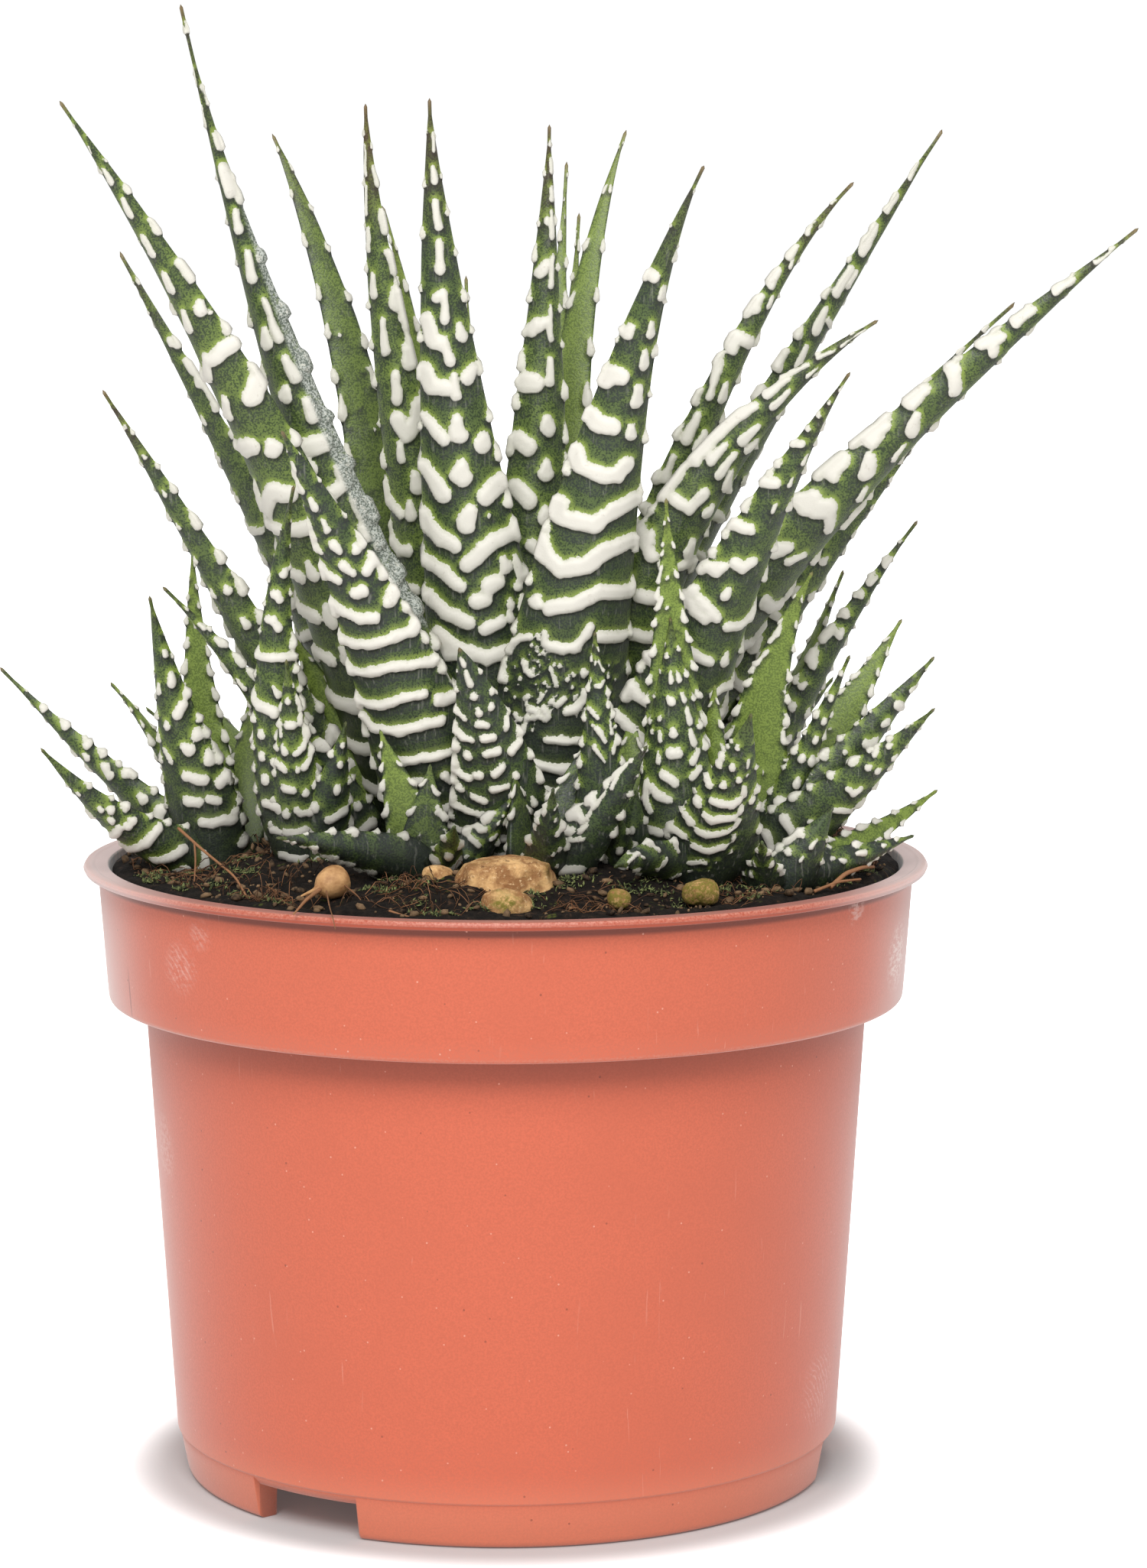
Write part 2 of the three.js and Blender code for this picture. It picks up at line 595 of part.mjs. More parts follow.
// The young rosettes: each is joined into one solid and cut clear of the main leaves, the soil and the pot
const potCutter = turned([
  [COLLAR_TOP_RADIUS - WALL - GAP, SOIL_EDGE_HEIGHT - 10], [LIP_RADIUS + GAP, SOIL_EDGE_HEIGHT - 10],
  [LIP_RADIUS + GAP, POT_HEIGHT + GAP], [COLLAR_TOP_RADIUS - WALL - GAP, POT_HEIGHT + GAP],
  [COLLAR_TOP_RADIUS - WALL - GAP, SOIL_EDGE_HEIGHT - 10],
], POT_SEGMENTS);
placed = placed.add(potCutter);
for (const [name, rosette] of Object.entries(YOUNG_ROSETTES)) {
  const shapes = youngLeaves(rosette);
  const solids = shapes.map(
    (shape) => leaf(shape, YOUNG_SECTION, YOUNG_BANDS, TUBERCLE_HEIGHT, YOUNG_PLAIN));
  const joined = wasm.Manifold.union([youngStem(rosette, 0), ...solids]);
  plant.add(meshOf(name, joined.subtract(placed), COLOURS.young, 0.5));
  const cutters = shapes.map((shape) => leafCutter(shape, YOUNG_SECTION));
  placed = wasm.Manifold.union([placed, youngStem(rosette, GAP), ...cutters]);
}

plant.add(meshOf('soil', soilSolid, COLOURS.soil, 0.95));

// Stones and the bulb lie on the soil, cut clear of it and of each other
for (const [name, shape] of Object.entries(STONES)) {
  const solid = stone(shape);
  plant.add(meshOf(name, solid.subtract(placed), COLOURS.stone, 0.85));
  const grown = { ...shape, half: shape.half.map((value) => value + 2 * GAP) };
  placed = placed.add(stone(grown));
}
plant.add(meshOf('dry_bulb', bulb().subtract(placed), COLOURS.bulb, 0.7));

// The origin is the middle of the whole plant's box, on the surface that the pot stands on
const box = new THREE.Box3().setFromObject(plant);
const centre = box.getCenter(new THREE.Vector3());
plant.position.set(-centre.x, -centre.y, -box.min.z);
plant.updateMatrixWorld(true);

export default plant;
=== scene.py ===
"""A zebra haworthia in its plastic nursery pot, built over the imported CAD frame.

Sizes in the tables are millimetres from the pot's axis, at the height of the surface it stands on.
"""

import math

import bpy
import numpy as np
from bpy.props import FloatProperty, FloatVectorProperty, IntProperty, PointerProperty
from bpy.types import Operator, Panel, PropertyGroup
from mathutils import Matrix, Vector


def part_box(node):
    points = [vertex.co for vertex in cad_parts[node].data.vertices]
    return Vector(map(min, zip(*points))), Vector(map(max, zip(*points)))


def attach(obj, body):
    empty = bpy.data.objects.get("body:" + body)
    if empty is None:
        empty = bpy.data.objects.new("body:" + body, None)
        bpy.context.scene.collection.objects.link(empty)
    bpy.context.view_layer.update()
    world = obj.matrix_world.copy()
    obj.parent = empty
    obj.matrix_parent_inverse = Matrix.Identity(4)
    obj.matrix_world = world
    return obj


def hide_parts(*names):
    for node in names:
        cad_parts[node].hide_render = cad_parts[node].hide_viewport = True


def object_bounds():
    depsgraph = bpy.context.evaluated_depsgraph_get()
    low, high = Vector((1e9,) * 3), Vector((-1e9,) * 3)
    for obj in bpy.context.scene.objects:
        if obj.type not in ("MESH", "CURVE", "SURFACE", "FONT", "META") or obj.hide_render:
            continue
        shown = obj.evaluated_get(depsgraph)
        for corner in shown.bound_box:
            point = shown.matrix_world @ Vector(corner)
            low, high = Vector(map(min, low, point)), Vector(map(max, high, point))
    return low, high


bl_info = {
    "name": "Potted Haworthia",
    "version": (1, 0, 0),
    "blender": (4, 5, 0),
    "location": "View3D > Sidebar > Haworthia",
    "description": "Builds a zebra haworthia with its young rosettes, soil, stones and nursery pot",
    "category": "Object",
}

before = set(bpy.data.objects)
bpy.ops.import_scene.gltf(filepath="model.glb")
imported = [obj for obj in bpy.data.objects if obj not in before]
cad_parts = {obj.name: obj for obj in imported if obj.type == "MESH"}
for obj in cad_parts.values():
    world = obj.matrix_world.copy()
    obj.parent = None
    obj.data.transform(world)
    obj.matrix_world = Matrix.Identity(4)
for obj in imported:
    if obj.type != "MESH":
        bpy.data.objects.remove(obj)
CAD_LOW, CAD_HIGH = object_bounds()
POT_LOW, POT_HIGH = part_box("pot")

MM = 0.001
AXIS = np.array([(POT_LOW.x + POT_HIGH.x) / 2, (POT_LOW.y + POT_HIGH.y) / 2, 0.0]) / MM
LIP_RADIUS = (POT_HIGH.y - POT_LOW.y) / 2 / MM
POT_HEIGHT = POT_HIGH.z / MM

# Pot, as [radius, height] sizes of its collar, body and foot
COLLAR_TOP_RADIUS = 50.6
COLLAR_FOOT_RADIUS = 49.5
COLLAR_FOOT_HEIGHT = 60
BODY_TOP_RADIUS = 45
BODY_FOOT_RADIUS = 41.6
FOOT_HEIGHT = 5.6
FOOT_RADIUS = 40.2
FOOT_RING_WIDTH = 2.6
FLOOR_UNDERSIDE = 4
FLOOR_TOP = 5.6
NOTCH_HEADINGS = (-37, 83, 203)
NOTCH_SPAN = 22
NOTCH_HEIGHT = 4.4
NOTCH_DEPTH = 4.5
DRAIN_RADIUS = 3.5
DRAIN_CIRCLE = 31

# Soil: the gap that keeps it clear of the pot, its faces round and across, and where it heaps up
SOIL_GAP = 0.3
SOIL_COLUMNS, SOIL_RINGS = 216, 100
HEAP_FROM, HEAP_TO = 43, 48
MOSS_PER_TUFT = 40
FIBRES_PER_CLUMP = 14

# Crown that the main leaves grow from
CROWN = {"x": -1, "y": -2, "foot": 70, "top": 84, "radius": 6.5, "top_radius": 3}

# Leaves of the main rosette: the points that a leaf's centre line starts at, bends towards and ends at,
# its greatest width and the heading of its outer face in degrees (0 = front, 90 = right)
MAIN_LEAVES = {
    "leaf_heart_front": dict(
        base=(1, -6, 78), bend=(-8.5, -9, 143), tip=(-9, -12, 170.5), width=15.5, face=0),
    "leaf_heart_middle": dict(base=(1, -1, 79), bend=(5, 1.5, 137), tip=(5.5, 4, 167.5), width=12, face=5),
    "leaf_heart_left": dict(
        base=(-3, 1, 79), bend=(-16.5, 0.5, 146), tip=(-17, 0, 170), width=9.5, taper=0.85, face=-20),
    "leaf_heart_back": dict(
        base=(4.5, 5, 79), bend=(5.5, 14.5, 140), tip=(15.5, 24, 167), width=10.5, face=165),
    "leaf_big_front": dict(
        base=(4, -10, 77), bend=(11, -16, 137), tip=(23.5, -22, 162.5), width=18, taper=1.15, face=8),
    "leaf_tall_left": dict(
        base=(-4, -8, 77), bend=(-31, -11, 145), tip=(-38.5, -14, 181.5), width=15, taper=1.4, face=-18),
    "leaf_slim_back": dict(
        base=(-4, 6, 78), bend=(-9.5, 11.5, 140), tip=(-15.5, 17, 157.5), width=8, face=150),
    "leaf_green_back": dict(
        base=(-10, 6, 77), bend=(-15, 14, 136), tip=(-29.5, 22, 166.5), width=10, taper=0.85, face=-160),
    "leaf_right": dict(
        base=(5, 0, 78), bend=(24, -2, 142), tip=(42.5, -4, 160.5), width=8.5, taper=0.9, face=30),
    "leaf_right_back": dict(
        base=(6, 5, 77), bend=(10.5, 10.5, 100), tip=(55, 16, 167), width=12, taper=0.9, face=62),
    "leaf_low_front": dict(
        base=(-5, -15, 77), bend=(-11, -24.5, 102), tip=(-26, -34, 132), width=14.5, taper=0.9, face=-12),
    "leaf_left": dict(base=(-10, -8, 77), bend=(-19, -16.5, 121), tip=(-52, -25, 170), width=13, face=-28),
    "leaf_right_arched": dict(
        base=(9, -5, 77), bend=(13, -8.5, 124.5), tip=(45, -12, 144), width=13.5, face=20),
    "leaf_right_front": dict(
        base=(13, -10, 77), bend=(24.5, -19, 113.5), tip=(40.5, -28, 138.5), width=15.5, taper=1.1, face=18),
    "leaf_far_right": dict(
        base=(12, -4, 77), bend=(14, -7, 105), tip=(76.5, -10, 155), width=12, face=32),
    "leaf_thin_back": dict(base=(3, 9, 78), bend=(6, 20, 128), tip=(8, 33, 163), width=6.5, face=180),
    "leaf_short_back": dict(base=(6, 9, 77), bend=(7, 19, 118), tip=(9.5, 26, 156.5), width=7, face=170),
    "leaf_hidden_back": dict(base=(-1, 9, 77), bend=(-4, 17, 112), tip=(-5, 26, 148.5), width=7, face=-175),
    "leaf_shaded_left": dict(
        base=(-11, 0, 77), bend=(-17, 2, 97), tip=(-47.5, 4, 152), width=10.5, taper=0.9, face=-55),
    "leaf_thin_right": dict(base=(12, 4, 77), bend=(23, 8, 110), tip=(64, 12, 145.5), width=7.5, face=80),
    "leaf_shaded_right": dict(base=(11, 1, 76), bend=(38, 2, 113), tip=(53.5, 3, 132), width=10, face=45),
    "leaf_low_left": dict(
        base=(-15, -5, 76), bend=(-30, -11.5, 106), tip=(-48, -18, 136), width=8, taper=0.9, face=-35),
    "leaf_stub_front": dict(
        base=(0, -19, 76), bend=(0, -25.5, 91), tip=(-5.5, -32, 106.5), width=13, taper=0.8, face=0),
    "leaf_back_left": dict(base=(-8, 10, 76), bend=(-16, 26, 104), tip=(-24, 47, 122), width=11, face=-150),
    "leaf_back": dict(base=(0, 12, 76), bend=(3, 30, 106), tip=(2, 52, 124), width=12, face=178),
    "leaf_back_right": dict(base=(9, 10, 76), bend=(17, 26, 102), tip=(26, 46, 120), width=11, face=150),
}

# Young rosettes: where each stem stands and the height that its leaves start at. A leaf has its tip,
# its width, the sway of its bend to the right of the straight line, its lift above it and, where its
# outer face doesn't look away from the stem, a heading.
YOUNG_ROSETTES = {
    "young_far_left": ((-33.5, -8, 78), [
        dict(tip=(-43, -14, 111), width=10, sway=-1, taper=1.1, face=-14),
        dict(tip=(-62, -6, 101.5), width=5.5, lift=-2, face=-45),
        dict(tip=(-56, -18, 93), width=7.5, lift=-5.5, face=-32),
        dict(tip=(-49, 0, 99), width=5.5, lift=4, face=-120),
        dict(tip=(-38.5, -2, 116), width=7, sway=-2, face=170),
        dict(tip=(-31, 5, 100), width=7),
    ]),
    "young_left": ((-24, -17, 78), [
        dict(tip=(-25, -24, 125), width=8, sway=-5.5, face=-5),
        dict(tip=(-26, -26, 104.5), width=7.5, face=0),
        dict(tip=(-32, -8, 102), width=7),
        dict(tip=(-19, -25, 97), width=7.5, face=15),
    ]),
    "young_left_inner": ((-17, -11, 80), [
        dict(tip=(-26.5, -9, 106.5), width=8.5, sway=4, face=175),
        dict(tip=(-24, -17, 96), width=9, face=-10),
        dict(tip=(-41.5, -13, 112), width=5.5, lift=5, face=-25),
        dict(tip=(-24, 2, 102), width=8),
    ]),
    "young_bright_front": ((-8, -26, 79.5), [
        dict(tip=(-15, -25, 96), width=7, face=180),
        dict(tip=(-9, -26, 92), width=6.5, face=180),
        dict(tip=(1, -28, 88.5), width=5.5, lift=-1, face=15),
        dict(tip=(-27, -36, 84.5), width=7, lift=1.5, face=-30),
        dict(tip=(-6, -36, 86), width=5),
    ]),
    "young_front": ((4, -29, 79.5), [
        dict(tip=(16.5, -37, 95.5), width=7.5, lift=-1.5, face=-10),
        dict(tip=(5.5, -40, 91), width=6, lift=-1.5, face=0),
        dict(tip=(10.5, -23.5, 96), width=8, face=180),
        dict(tip=(1, -27, 92), width=6.5),
    ]),
    "young_front_right": ((13, -25, 79.5), [
        dict(tip=(10.5, -28, 108), width=7.5, face=0),
        dict(tip=(15.5, -30, 89.5), width=7, face=10),
        dict(tip=(13.5, -34, 87), width=5.5, lift=-1),
        dict(tip=(15.5, -17, 98), width=7.5),
    ]),
    "young_right_front": ((22.5, -25, 79), [
        dict(tip=(19.5, -26, 109.5), width=11, face=-6),
        dict(tip=(28.5, -39, 99.5), width=12, lift=-1.5, face=6),
        dict(tip=(19, -25, 123.5), width=9, face=180),
        dict(tip=(12.5, -40, 81.5), width=8, lift=3, face=-20),
        dict(tip=(25, -22, 101), width=8, face=165),
    ]),
    "young_right": ((29, -15, 79), [
        dict(tip=(37, -16, 114), width=9.5, sway=-6, face=175),
        dict(tip=(48.5, -8, 107.5), width=8.5, face=165),
        dict(tip=(52, -14, 103.5), width=8.5, face=30),
        dict(tip=(51.5, -21, 98), width=8.5, lift=-1, face=22),
        dict(tip=(41.5, -17, 104), width=5, face=10),
    ]),
    "young_right_back": ((27, 3, 79), [
        dict(tip=(51.5, 6, 118.5), width=6.5, sway=-4, face=40),
        dict(tip=(42.5, 10, 112), width=7),
        dict(tip=(46, 17, 98), width=8),
        dict(tip=(25, 20, 98), width=8.5),
        dict(tip=(30, 1, 103), width=8),
    ]),
    "young_far_right": ((31, -25, 77), [
        dict(tip=(53, -9, 86.5), width=5.5, lift=-1.5, face=165),
        dict(tip=(49.5, -17, 82), width=6, face=25),
        dict(tip=(39, -27, 87), width=7, face=12),
        dict(tip=(30, -35, 84), width=5.5),
    ]),
    "young_back_left": ((-24, 20, 77), [
        dict(tip=(-28, 17, 108), width=9.5),
        dict(tip=(-42, 32, 96), width=9.5),
        dict(tip=(-25, 40, 100), width=10),
        dict(tip=(-46, 17, 94), width=8.5),
        dict(tip=(-13, 34, 96), width=8.5),
    ]),
    "young_back": ((4, 33, 76), [
        dict(tip=(5, 36, 104), width=9),
        dict(tip=(-9, 47, 94), width=9),
        dict(tip=(7, 53, 96), width=9.5),
        dict(tip=(19, 44, 92), width=8.5),
    ]),
    "young_back_right": ((24, 27, 77), [
        dict(tip=(27, 30, 104), width=9),
        dict(tip=(43, 33, 96), width=9),
        dict(tip=(31, 47, 96), width=9.5),
        dict(tip=(14, 41, 92), width=8),
    ]),
}
YOUNG_STEM_RADIUS = 3.4
YOUNG_STEM_DEPTH = 4
YOUNG_FOOT = 1.8

# Scuffs on the pot: the middle and the reach of each rubbed patch, how pale it is, and the middle and
# the strength of the fine arcs scratched into it
SCUFFS = (
    ((-38.6, -31.9, 69), 4, 0.15, (-42, -25, 62), 0.2),
    ((-36, -35.2, 73.4), 2.6, 0.15, (-40, -31, 68), 0.15),
    ((48, -14, 67.5), 5.5, 1.0, (44, -24, 72), 0.3),
    ((42.4, -28, 75.2), 2.2, 0.5, (44, -26, 71), 0.0),
    ((-42.2, -12.3, 43.6), 5.5, 0.15, (-38, -21, 43.5), 0.35),
    ((39, -16.5, 14), 6.5, 0.05, (33, -25, 6), 0.2),
    ((-45, -20.5, 52), 6, 0.4, (-44, -30, 49), 0.0),
)
MOULD_LINE = (-45.4, -20.2)

# Rows of white marks across a leaf's outer face. Each row is a list of strokes, and each stroke a list
# of places as [share of the half width, share of the row's rise towards the margins]. A stroke of one
# place is a drop.
ROW_KINDS = {
    "band": [[(-1.2, 1), (-0.75, 0.45), (-0.35, 0.1), (0.05, 0), (0.45, 0.2), (0.8, 0.55), (1.2, 1)]],
    "left": [[(-1.2, 1), (-0.75, 0.45), (-0.3, 0.08), (0.2, 0)], [(0.62, 0.2)]],
    "right": [[(1.2, 1), (0.75, 0.45), (0.3, 0.08), (-0.2, 0)], [(-0.62, 0.2)]],
    "broken": [[(-1.2, 1), (-0.8, 0.5), (-0.45, 0.15)], [(-0.02, 0)], [(0.5, 0.2), (0.8, 0.5), (1.15, 0.9)]],
    "hooks": [[(-1.1, 0.9), (-0.7, 0.3), (-0.35, 0.25)], [(0.3, 0.25), (0.7, 0.35), (1.1, 0.9)]],
    "pair": [[(-0.42, 0.1)], [(0.42, 0.1)]],
    "left_dot": [[(-0.4, 0)]],
    "right_dot": [[(0.42, 0)]],
    "drop": [[(0, 0)]],
}
DROP_KINDS = ("left_dot", "right_dot", "drop", "right_dot", "pair")

# How the marks stand on each leaf, where it differs from the usual habit. Strokes that are listed are
# [half width, mm up the leaf, per cent of its half width, ...] from the lower end on, and more than 100
# per cent leads over the margin onto the inner face. Below them and on other leaves rows follow each
# other: the first and the pitch in mm, the shares of the length that hold whole and broken rows, their
# rise at the left and right margin, their half width, the step between marks on the margins, tiny dots
# from one height to another, the half width that a broad stroke gains as it melts into the skin, the
# tone (0 slate, 1 bright), the red of the tip and whether a margin is corky.
USUAL_MARKS = dict(
    strokes=(), first=6, pitch=4.8, whole=0.25, broken=0.55, arms=(2.4, 2.4), weight=0.75,
    margin=4.6, scatter=None, swell=0.12, tone=0.4, blush=0.15, cork=False,
)
LEAF_MARKS = {
    "leaf_heart_front": dict(
        first=4, pitch=4.3, arms=(5, 3.5), weight=0.85, margin=5, tone=0.2, blush=0.3, strokes=(
        (0.85, 29, -75, 27.5, -55, 26.5, -25, 25.5, 5, 26, 35), (0.75, 29, 5, 29.5, 35), (0.6, 30, 55),
        (0.55, 30.5, 80, 32, 85), (0.5, 31.5, 60), (0.85, 32.5, -5, 32.5, 15),
        (0.85, 33.5, -90, 31.5, -60, 30, -20), (0.5, 33.5, 80), (1, 34, 25, 34.5, 45),
        (0.55, 34.5, 90, 37, 85), (0.75, 36, 65, 37, 60),
        (0.9, 37, -10, 38.5, 20, 39.5, 50, 40, 95, 41.5, 110), (0.8, 38.5, -110, 36.5, -60, 34.5, -30),
        (1.25, 42, -5, 43.5, 10), (0.3, 42.5, 50), (0.9, 43.5, -95, 42, -85, 40.5, -60, 39.5, -30),
        (1.15, 45, 50, 46.5, 90), (1.15, 46, -50, 49.5, -90), (1.4, 48, 0, 49, 5), (1.2, 51.5, 65, 52, 70),
        (0.85, 52.5, -40, 55.5, -85), (1.15, 53, 5, 54.5, 5), (0.55, 57.5, 10, 60, 10),
        (0.95, 59.5, 55, 60.5, 75), (1, 61, -80, 59, -60, 58.5, -10), (0.65, 62, 5, 64.5, -5),
        (0.6, 64.5, 60, 66, 55), (0.85, 67, -70, 64.5, -50, 64, -20), (0.65, 67, 0, 69.5, 5),
        (0.55, 69.5, -35, 70, 5), (0.7, 73, 0, 76, 5), (0.5, 78, 10, 81, 15), (0.45, 83.5, 15, 85, 10),
        (0.25, 87, 40, 89, 45),)),
    "leaf_heart_middle": dict(
        first=4, pitch=5, arms=(2, 2), weight=0.9, margin=5, tone=0.45, blush=0.35, strokes=(
        (0.75, 36.5, 5, 37, -10), (0.9, 40.5, 25, 41.5, 30), (1.1, 42.5, -25, 44, -65), (1, 46, 25, 47, 25),
        (1.1, 49, -40, 50, -75), (1.05, 51.5, 30, 52.5, 25), (0.55, 57, 30, 60, 30),
        (1.25, 57, -65, 57, -30), (0.4, 62.5, 35, 66.5, 35), (0.7, 63.5, -70, 64.5, -50),
        (0.7, 64, -35, 64.5, 10), (0.4, 69, 35, 72.5, 40), (0.65, 70.5, -55, 71.5, -5),
        (0.4, 75, 45, 78, 45), (0.4, 77, -15), (0.35, 79.5, 50, 81, 50), (0.3, 83, 60, 84.5, 90),)),
    "leaf_heart_left": dict(
        first=5, pitch=5.5, arms=(3, 3), weight=0.8, margin=4.8, tone=0.6, blush=0.5, strokes=(
        (0.8, 45, 30, 46.5, 30), (0.55, 48.5, -10, 50.5, -10), (0.95, 53.5, 0, 51.5, 30, 53, 70, 55, 95),
        (0.75, 56, 10, 59, 20), (0.75, 60, 85, 62, 90), (0.45, 61.5, 110, 64, 110),
        (0.65, 62, -10, 65.5, -10), (0.45, 64.5, 110, 68, 110), (0.8, 67.5, 80, 69, 90),
        (0.5, 69, -50, 71.5, -35), (0.35, 69.5, 110, 71, 110), (0.5, 71.5, 110, 74, 90),
        (0.45, 74.5, -70, 77, -50), (0.45, 76.5, 100, 79, 90), (0.3, 79, -65, 82, -55),
        (0.2, 82, 90, 84.5, 85), (0.25, 83.5, -45, 87, -55),)),
    "leaf_big_front": dict(
        first=4, pitch=3.4, arms=(2, 2), weight=0.6, margin=6, scatter=(17, 29, 70), tone=0.2, strokes=(
        (0.25, 19.5, -70, 19, -65), (0.35, 19.5, -55, 19, -55), (0.35, 19.5, -45, 20, -40, 19.5, -30),
        (0.15, 20.5, -80), (0.35, 20.5, -55, 20.5, -45), (0.35, 21, -35, 20, -25), (0.25, 20.5, 40),
        (0.15, 21, -60), (0.45, 21, 0, 21.5, 15, 22.5, 25, 23.5, 25), (0.3, 21.5, 30, 20.5, 25),
        (0.15, 21.5, -75), (0.15, 21.5, -65), (0.35, 21.5, -15, 22.5, -5), (0.2, 22, -90), (0.3, 22, -60),
        (0.15, 22, -50), (0.25, 22.5, -40, 21.5, -45), (0.4, 22, -25), (0.15, 23, -75), (0.15, 23, -35),
        (0.15, 23, -20), (0.2, 23, 10, 22.5, 10), (0.15, 23.5, -50), (0.15, 23.5, -25), (0.2, 24, -40),
        (0.15, 25, -50), (0.35, 25, -5), (0.15, 25.5, -45), (0.25, 25.5, -60), (0.25, 25.5, 5),
        (0.3, 26, -75, 25, -70, 24.5, -60), (0.25, 26, -35, 25, -25, 24, -20), (0.45, 26, 20, 25.5, 20),
        (0.15, 26, -50), (0.35, 26.5, -100, 28, -95, 29, -75), (0.15, 26.5, -65), (0.15, 26.5, -55),
        (0.2, 26.5, -30), (0.15, 27, -70), (0.15, 27, -40), (0.15, 27.5, -60), (0.15, 27.5, -50),
        (0.15, 28, -60), (0.55, 28.5, -40, 28.5, -20, 29, 0, 30.5, 15, 31.5, 20), (0.2, 29.5, -65, 29, -60),
        (0.3, 30, -55, 29, -50, 28.5, -50), (0.7, 30.5, 40, 30.5, 85),
        (0.9, 33, -55, 34.5, -5, 36, 30, 36, 90), (0.85, 33.5, -80), (0.65, 36, -110, 38, -110),
        (1, 41.5, -110, 39, -85, 38, -55, 39, -5, 41, 25, 42.5, 90),
        (1, 45.5, -90, 44, -80, 44, -50, 44, -5, 46, 30, 47.5, 85),
        (0.9, 52, -90, 50.5, -70, 50, -5, 50.5, 30, 52, 50), (0.7, 55.5, 45, 56.5, 45),
        (1.05, 56.5, -90, 56, -70, 56, -15), (0.8, 59.5, 50, 61, 45), (0.9, 61, -90, 62, -65, 62, -30),
        (0.7, 64, 50, 65.5, 40), (0.45, 66, -110), (0.7, 67, -75, 68, -65), (0.6, 68, 50, 69, 40),
        (0.5, 72.5, 65, 73.5, 60), (0.65, 74.5, -90, 74.5, -40), (0.25, 77, 90, 78, 95),)),
    "leaf_tall_left": dict(
        first=5, pitch=5, arms=(3, 3), weight=0.8, margin=6, tone=0.4, cork=True, strokes=(
        (0.4, 38.5, 85), (0.55, 41.5, 85, 43, 85), (0.7, 43, 65, 44.5, 70),
        (0.65, 45.5, 80, 47, 80, 48, 80), (0.75, 49.5, 35, 50, 70, 52, 75), (0.75, 53, 0, 54, -10),
        (1.1, 55.5, 10, 55.5, 35, 55.5, 60), (0.85, 59, 60, 61, 55), (1, 62.5, -10, 63, 0),
        (0.7, 64, 50, 66.5, 40), (0.45, 69, 40, 74, 35), (0.75, 69, -20, 70.5, -15), (0.65, 77, 10, 80, 35),
        (0.55, 83, 25, 85, 45), (0.6, 87.5, 50, 89, 40, 90.5, 40), (0.45, 93, 85, 94.5, 95),
        (0.2, 95.5, -80, 98.5, -35), (0.2, 98, 110, 100.5, 110), (0.15, 100.5, -65, 102.5, -60),)),
    "leaf_low_front": dict(
        first=4, pitch=3.6, arms=(2, 2), weight=0.6, margin=4.5, swell=0.05, tone=0, blush=0, strokes=(
        (0.5, 15.5, 30, 14.5, 35), (0.5, 15.5, -25, 15.5, -10), (0.6, 19, -75, 18.5, -35, 18.5, 5, 18, 50),
        (0.65, 24.5, -95, 23, -80, 22.5, -25, 22.5, 30, 22, 60), (0.75, 24.5, 70, 24, 90),
        (0.65, 25.5, 110, 26.5, 110, 28, 110), (0.65, 28, -110, 26.5, -95, 26, -50, 26.5, 10, 26, 50),
        (0.65, 30, 110, 32, 110), (0.65, 32, -110, 30.5, -110, 30.5, -45, 30.5, 20, 29, 90),
        (0.7, 35, -110, 34.5, -80, 34, -20, 34, 45, 33.5, 85, 34.5, 110, 35.5, 110),
        (0.85, 38, 75, 38.5, 90, 39, 110), (0.75, 40, -110, 39, -80, 37.5, -25, 37, 20),
        (0.8, 40.5, 0, 40.5, 20), (0.65, 42.5, 65, 43, 95, 44, 110), (0.75, 44, -5, 43, 15),
        (0.6, 45, -110, 43.5, -85, 42.5, -45), (0.65, 45.5, 70), (0.7, 47, -10, 46, 5),
        (0.6, 48, -110, 46.5, -85), (0.5, 49, -10, 50, -10), (0.5, 50, -110, 51, -110),
        (0.5, 52, -20, 53, -30), (0.55, 54.5, -80, 55.5, -80), (0.4, 57, -90, 58, -75), (0.2, 59.5, -110),)),
    "leaf_stub_front": dict(
        first=4, pitch=2.6, arms=(1, 1), weight=0.55, margin=2.6, swell=-0.05, tone=-0.8, blush=0, strokes=(
        (0.5, 14.5, -55, 14, -30), (0.55, 15.5, -10, 15.5, 25), (0.65, 15.5, -85), (0.6, 16.5, 50),
        (0.65, 17.5, -45, 17.5, -35), (0.7, 17.5, 0, 18, 20), (0.6, 18.5, -110, 17.5, -85, 17, -65),
        (0.65, 19.5, 60, 20, 85), (0.65, 20, -65), (0.55, 20, -15, 20, 25), (0.4, 21.5, -110, 20.5, -95),
        (0.65, 22, -10, 22, 20), (0.6, 22.5, 70, 23.5, 85), (0.55, 23.5, -100, 22.5, -75, 22, -50),
        (0.55, 24, -15, 23.5, 10), (0.55, 25.5, 55), (0.65, 25.5, -5), (0.5, 26, -110, 25, -70),
        (0.4, 27, 80), (0.65, 27.5, -5), (0.5, 29, -5, 30.5, -10), (0.4, 31.5, -10, 32.5, -20),)),
    "leaf_left": dict(
        first=5, pitch=6, arms=(2, 2), weight=1, margin=7.5, tone=0.6, blush=0, strokes=(
        (1.15, 49.5, -80, 51.5, -25, 50.5, 25), (0.45, 49.5, -100, 53, -80), (1.1, 56.5, 40),
        (1.2, 57.5, -60, 57.5, -20), (0.8, 62, -60, 64, -40), (1.1, 63, 60, 64, 95),
        (0.85, 67.5, -70, 69.5, -25), (0.9, 69, -5, 69.5, 50, 69.5, 90), (0.7, 73.5, -45, 75.5, -25),
        (0.25, 74, 90), (0.8, 75, 60, 75.5, 75), (0.4, 78.5, 90, 79.5, 90, 81, 90),
        (0.6, 78.5, -30, 80.5, -15), (0.6, 83.5, -20, 85.5, -10), (0.4, 85.5, 100, 87, 110),
        (0.45, 88.5, -5, 90.5, 10), (0.45, 91, 110, 92, 110), (0.4, 93, -5, 94.5, -10), (0.2, 95.5, 110),
        (0.2, 97, -30, 98, -15), (0.15, 99, 100),)),
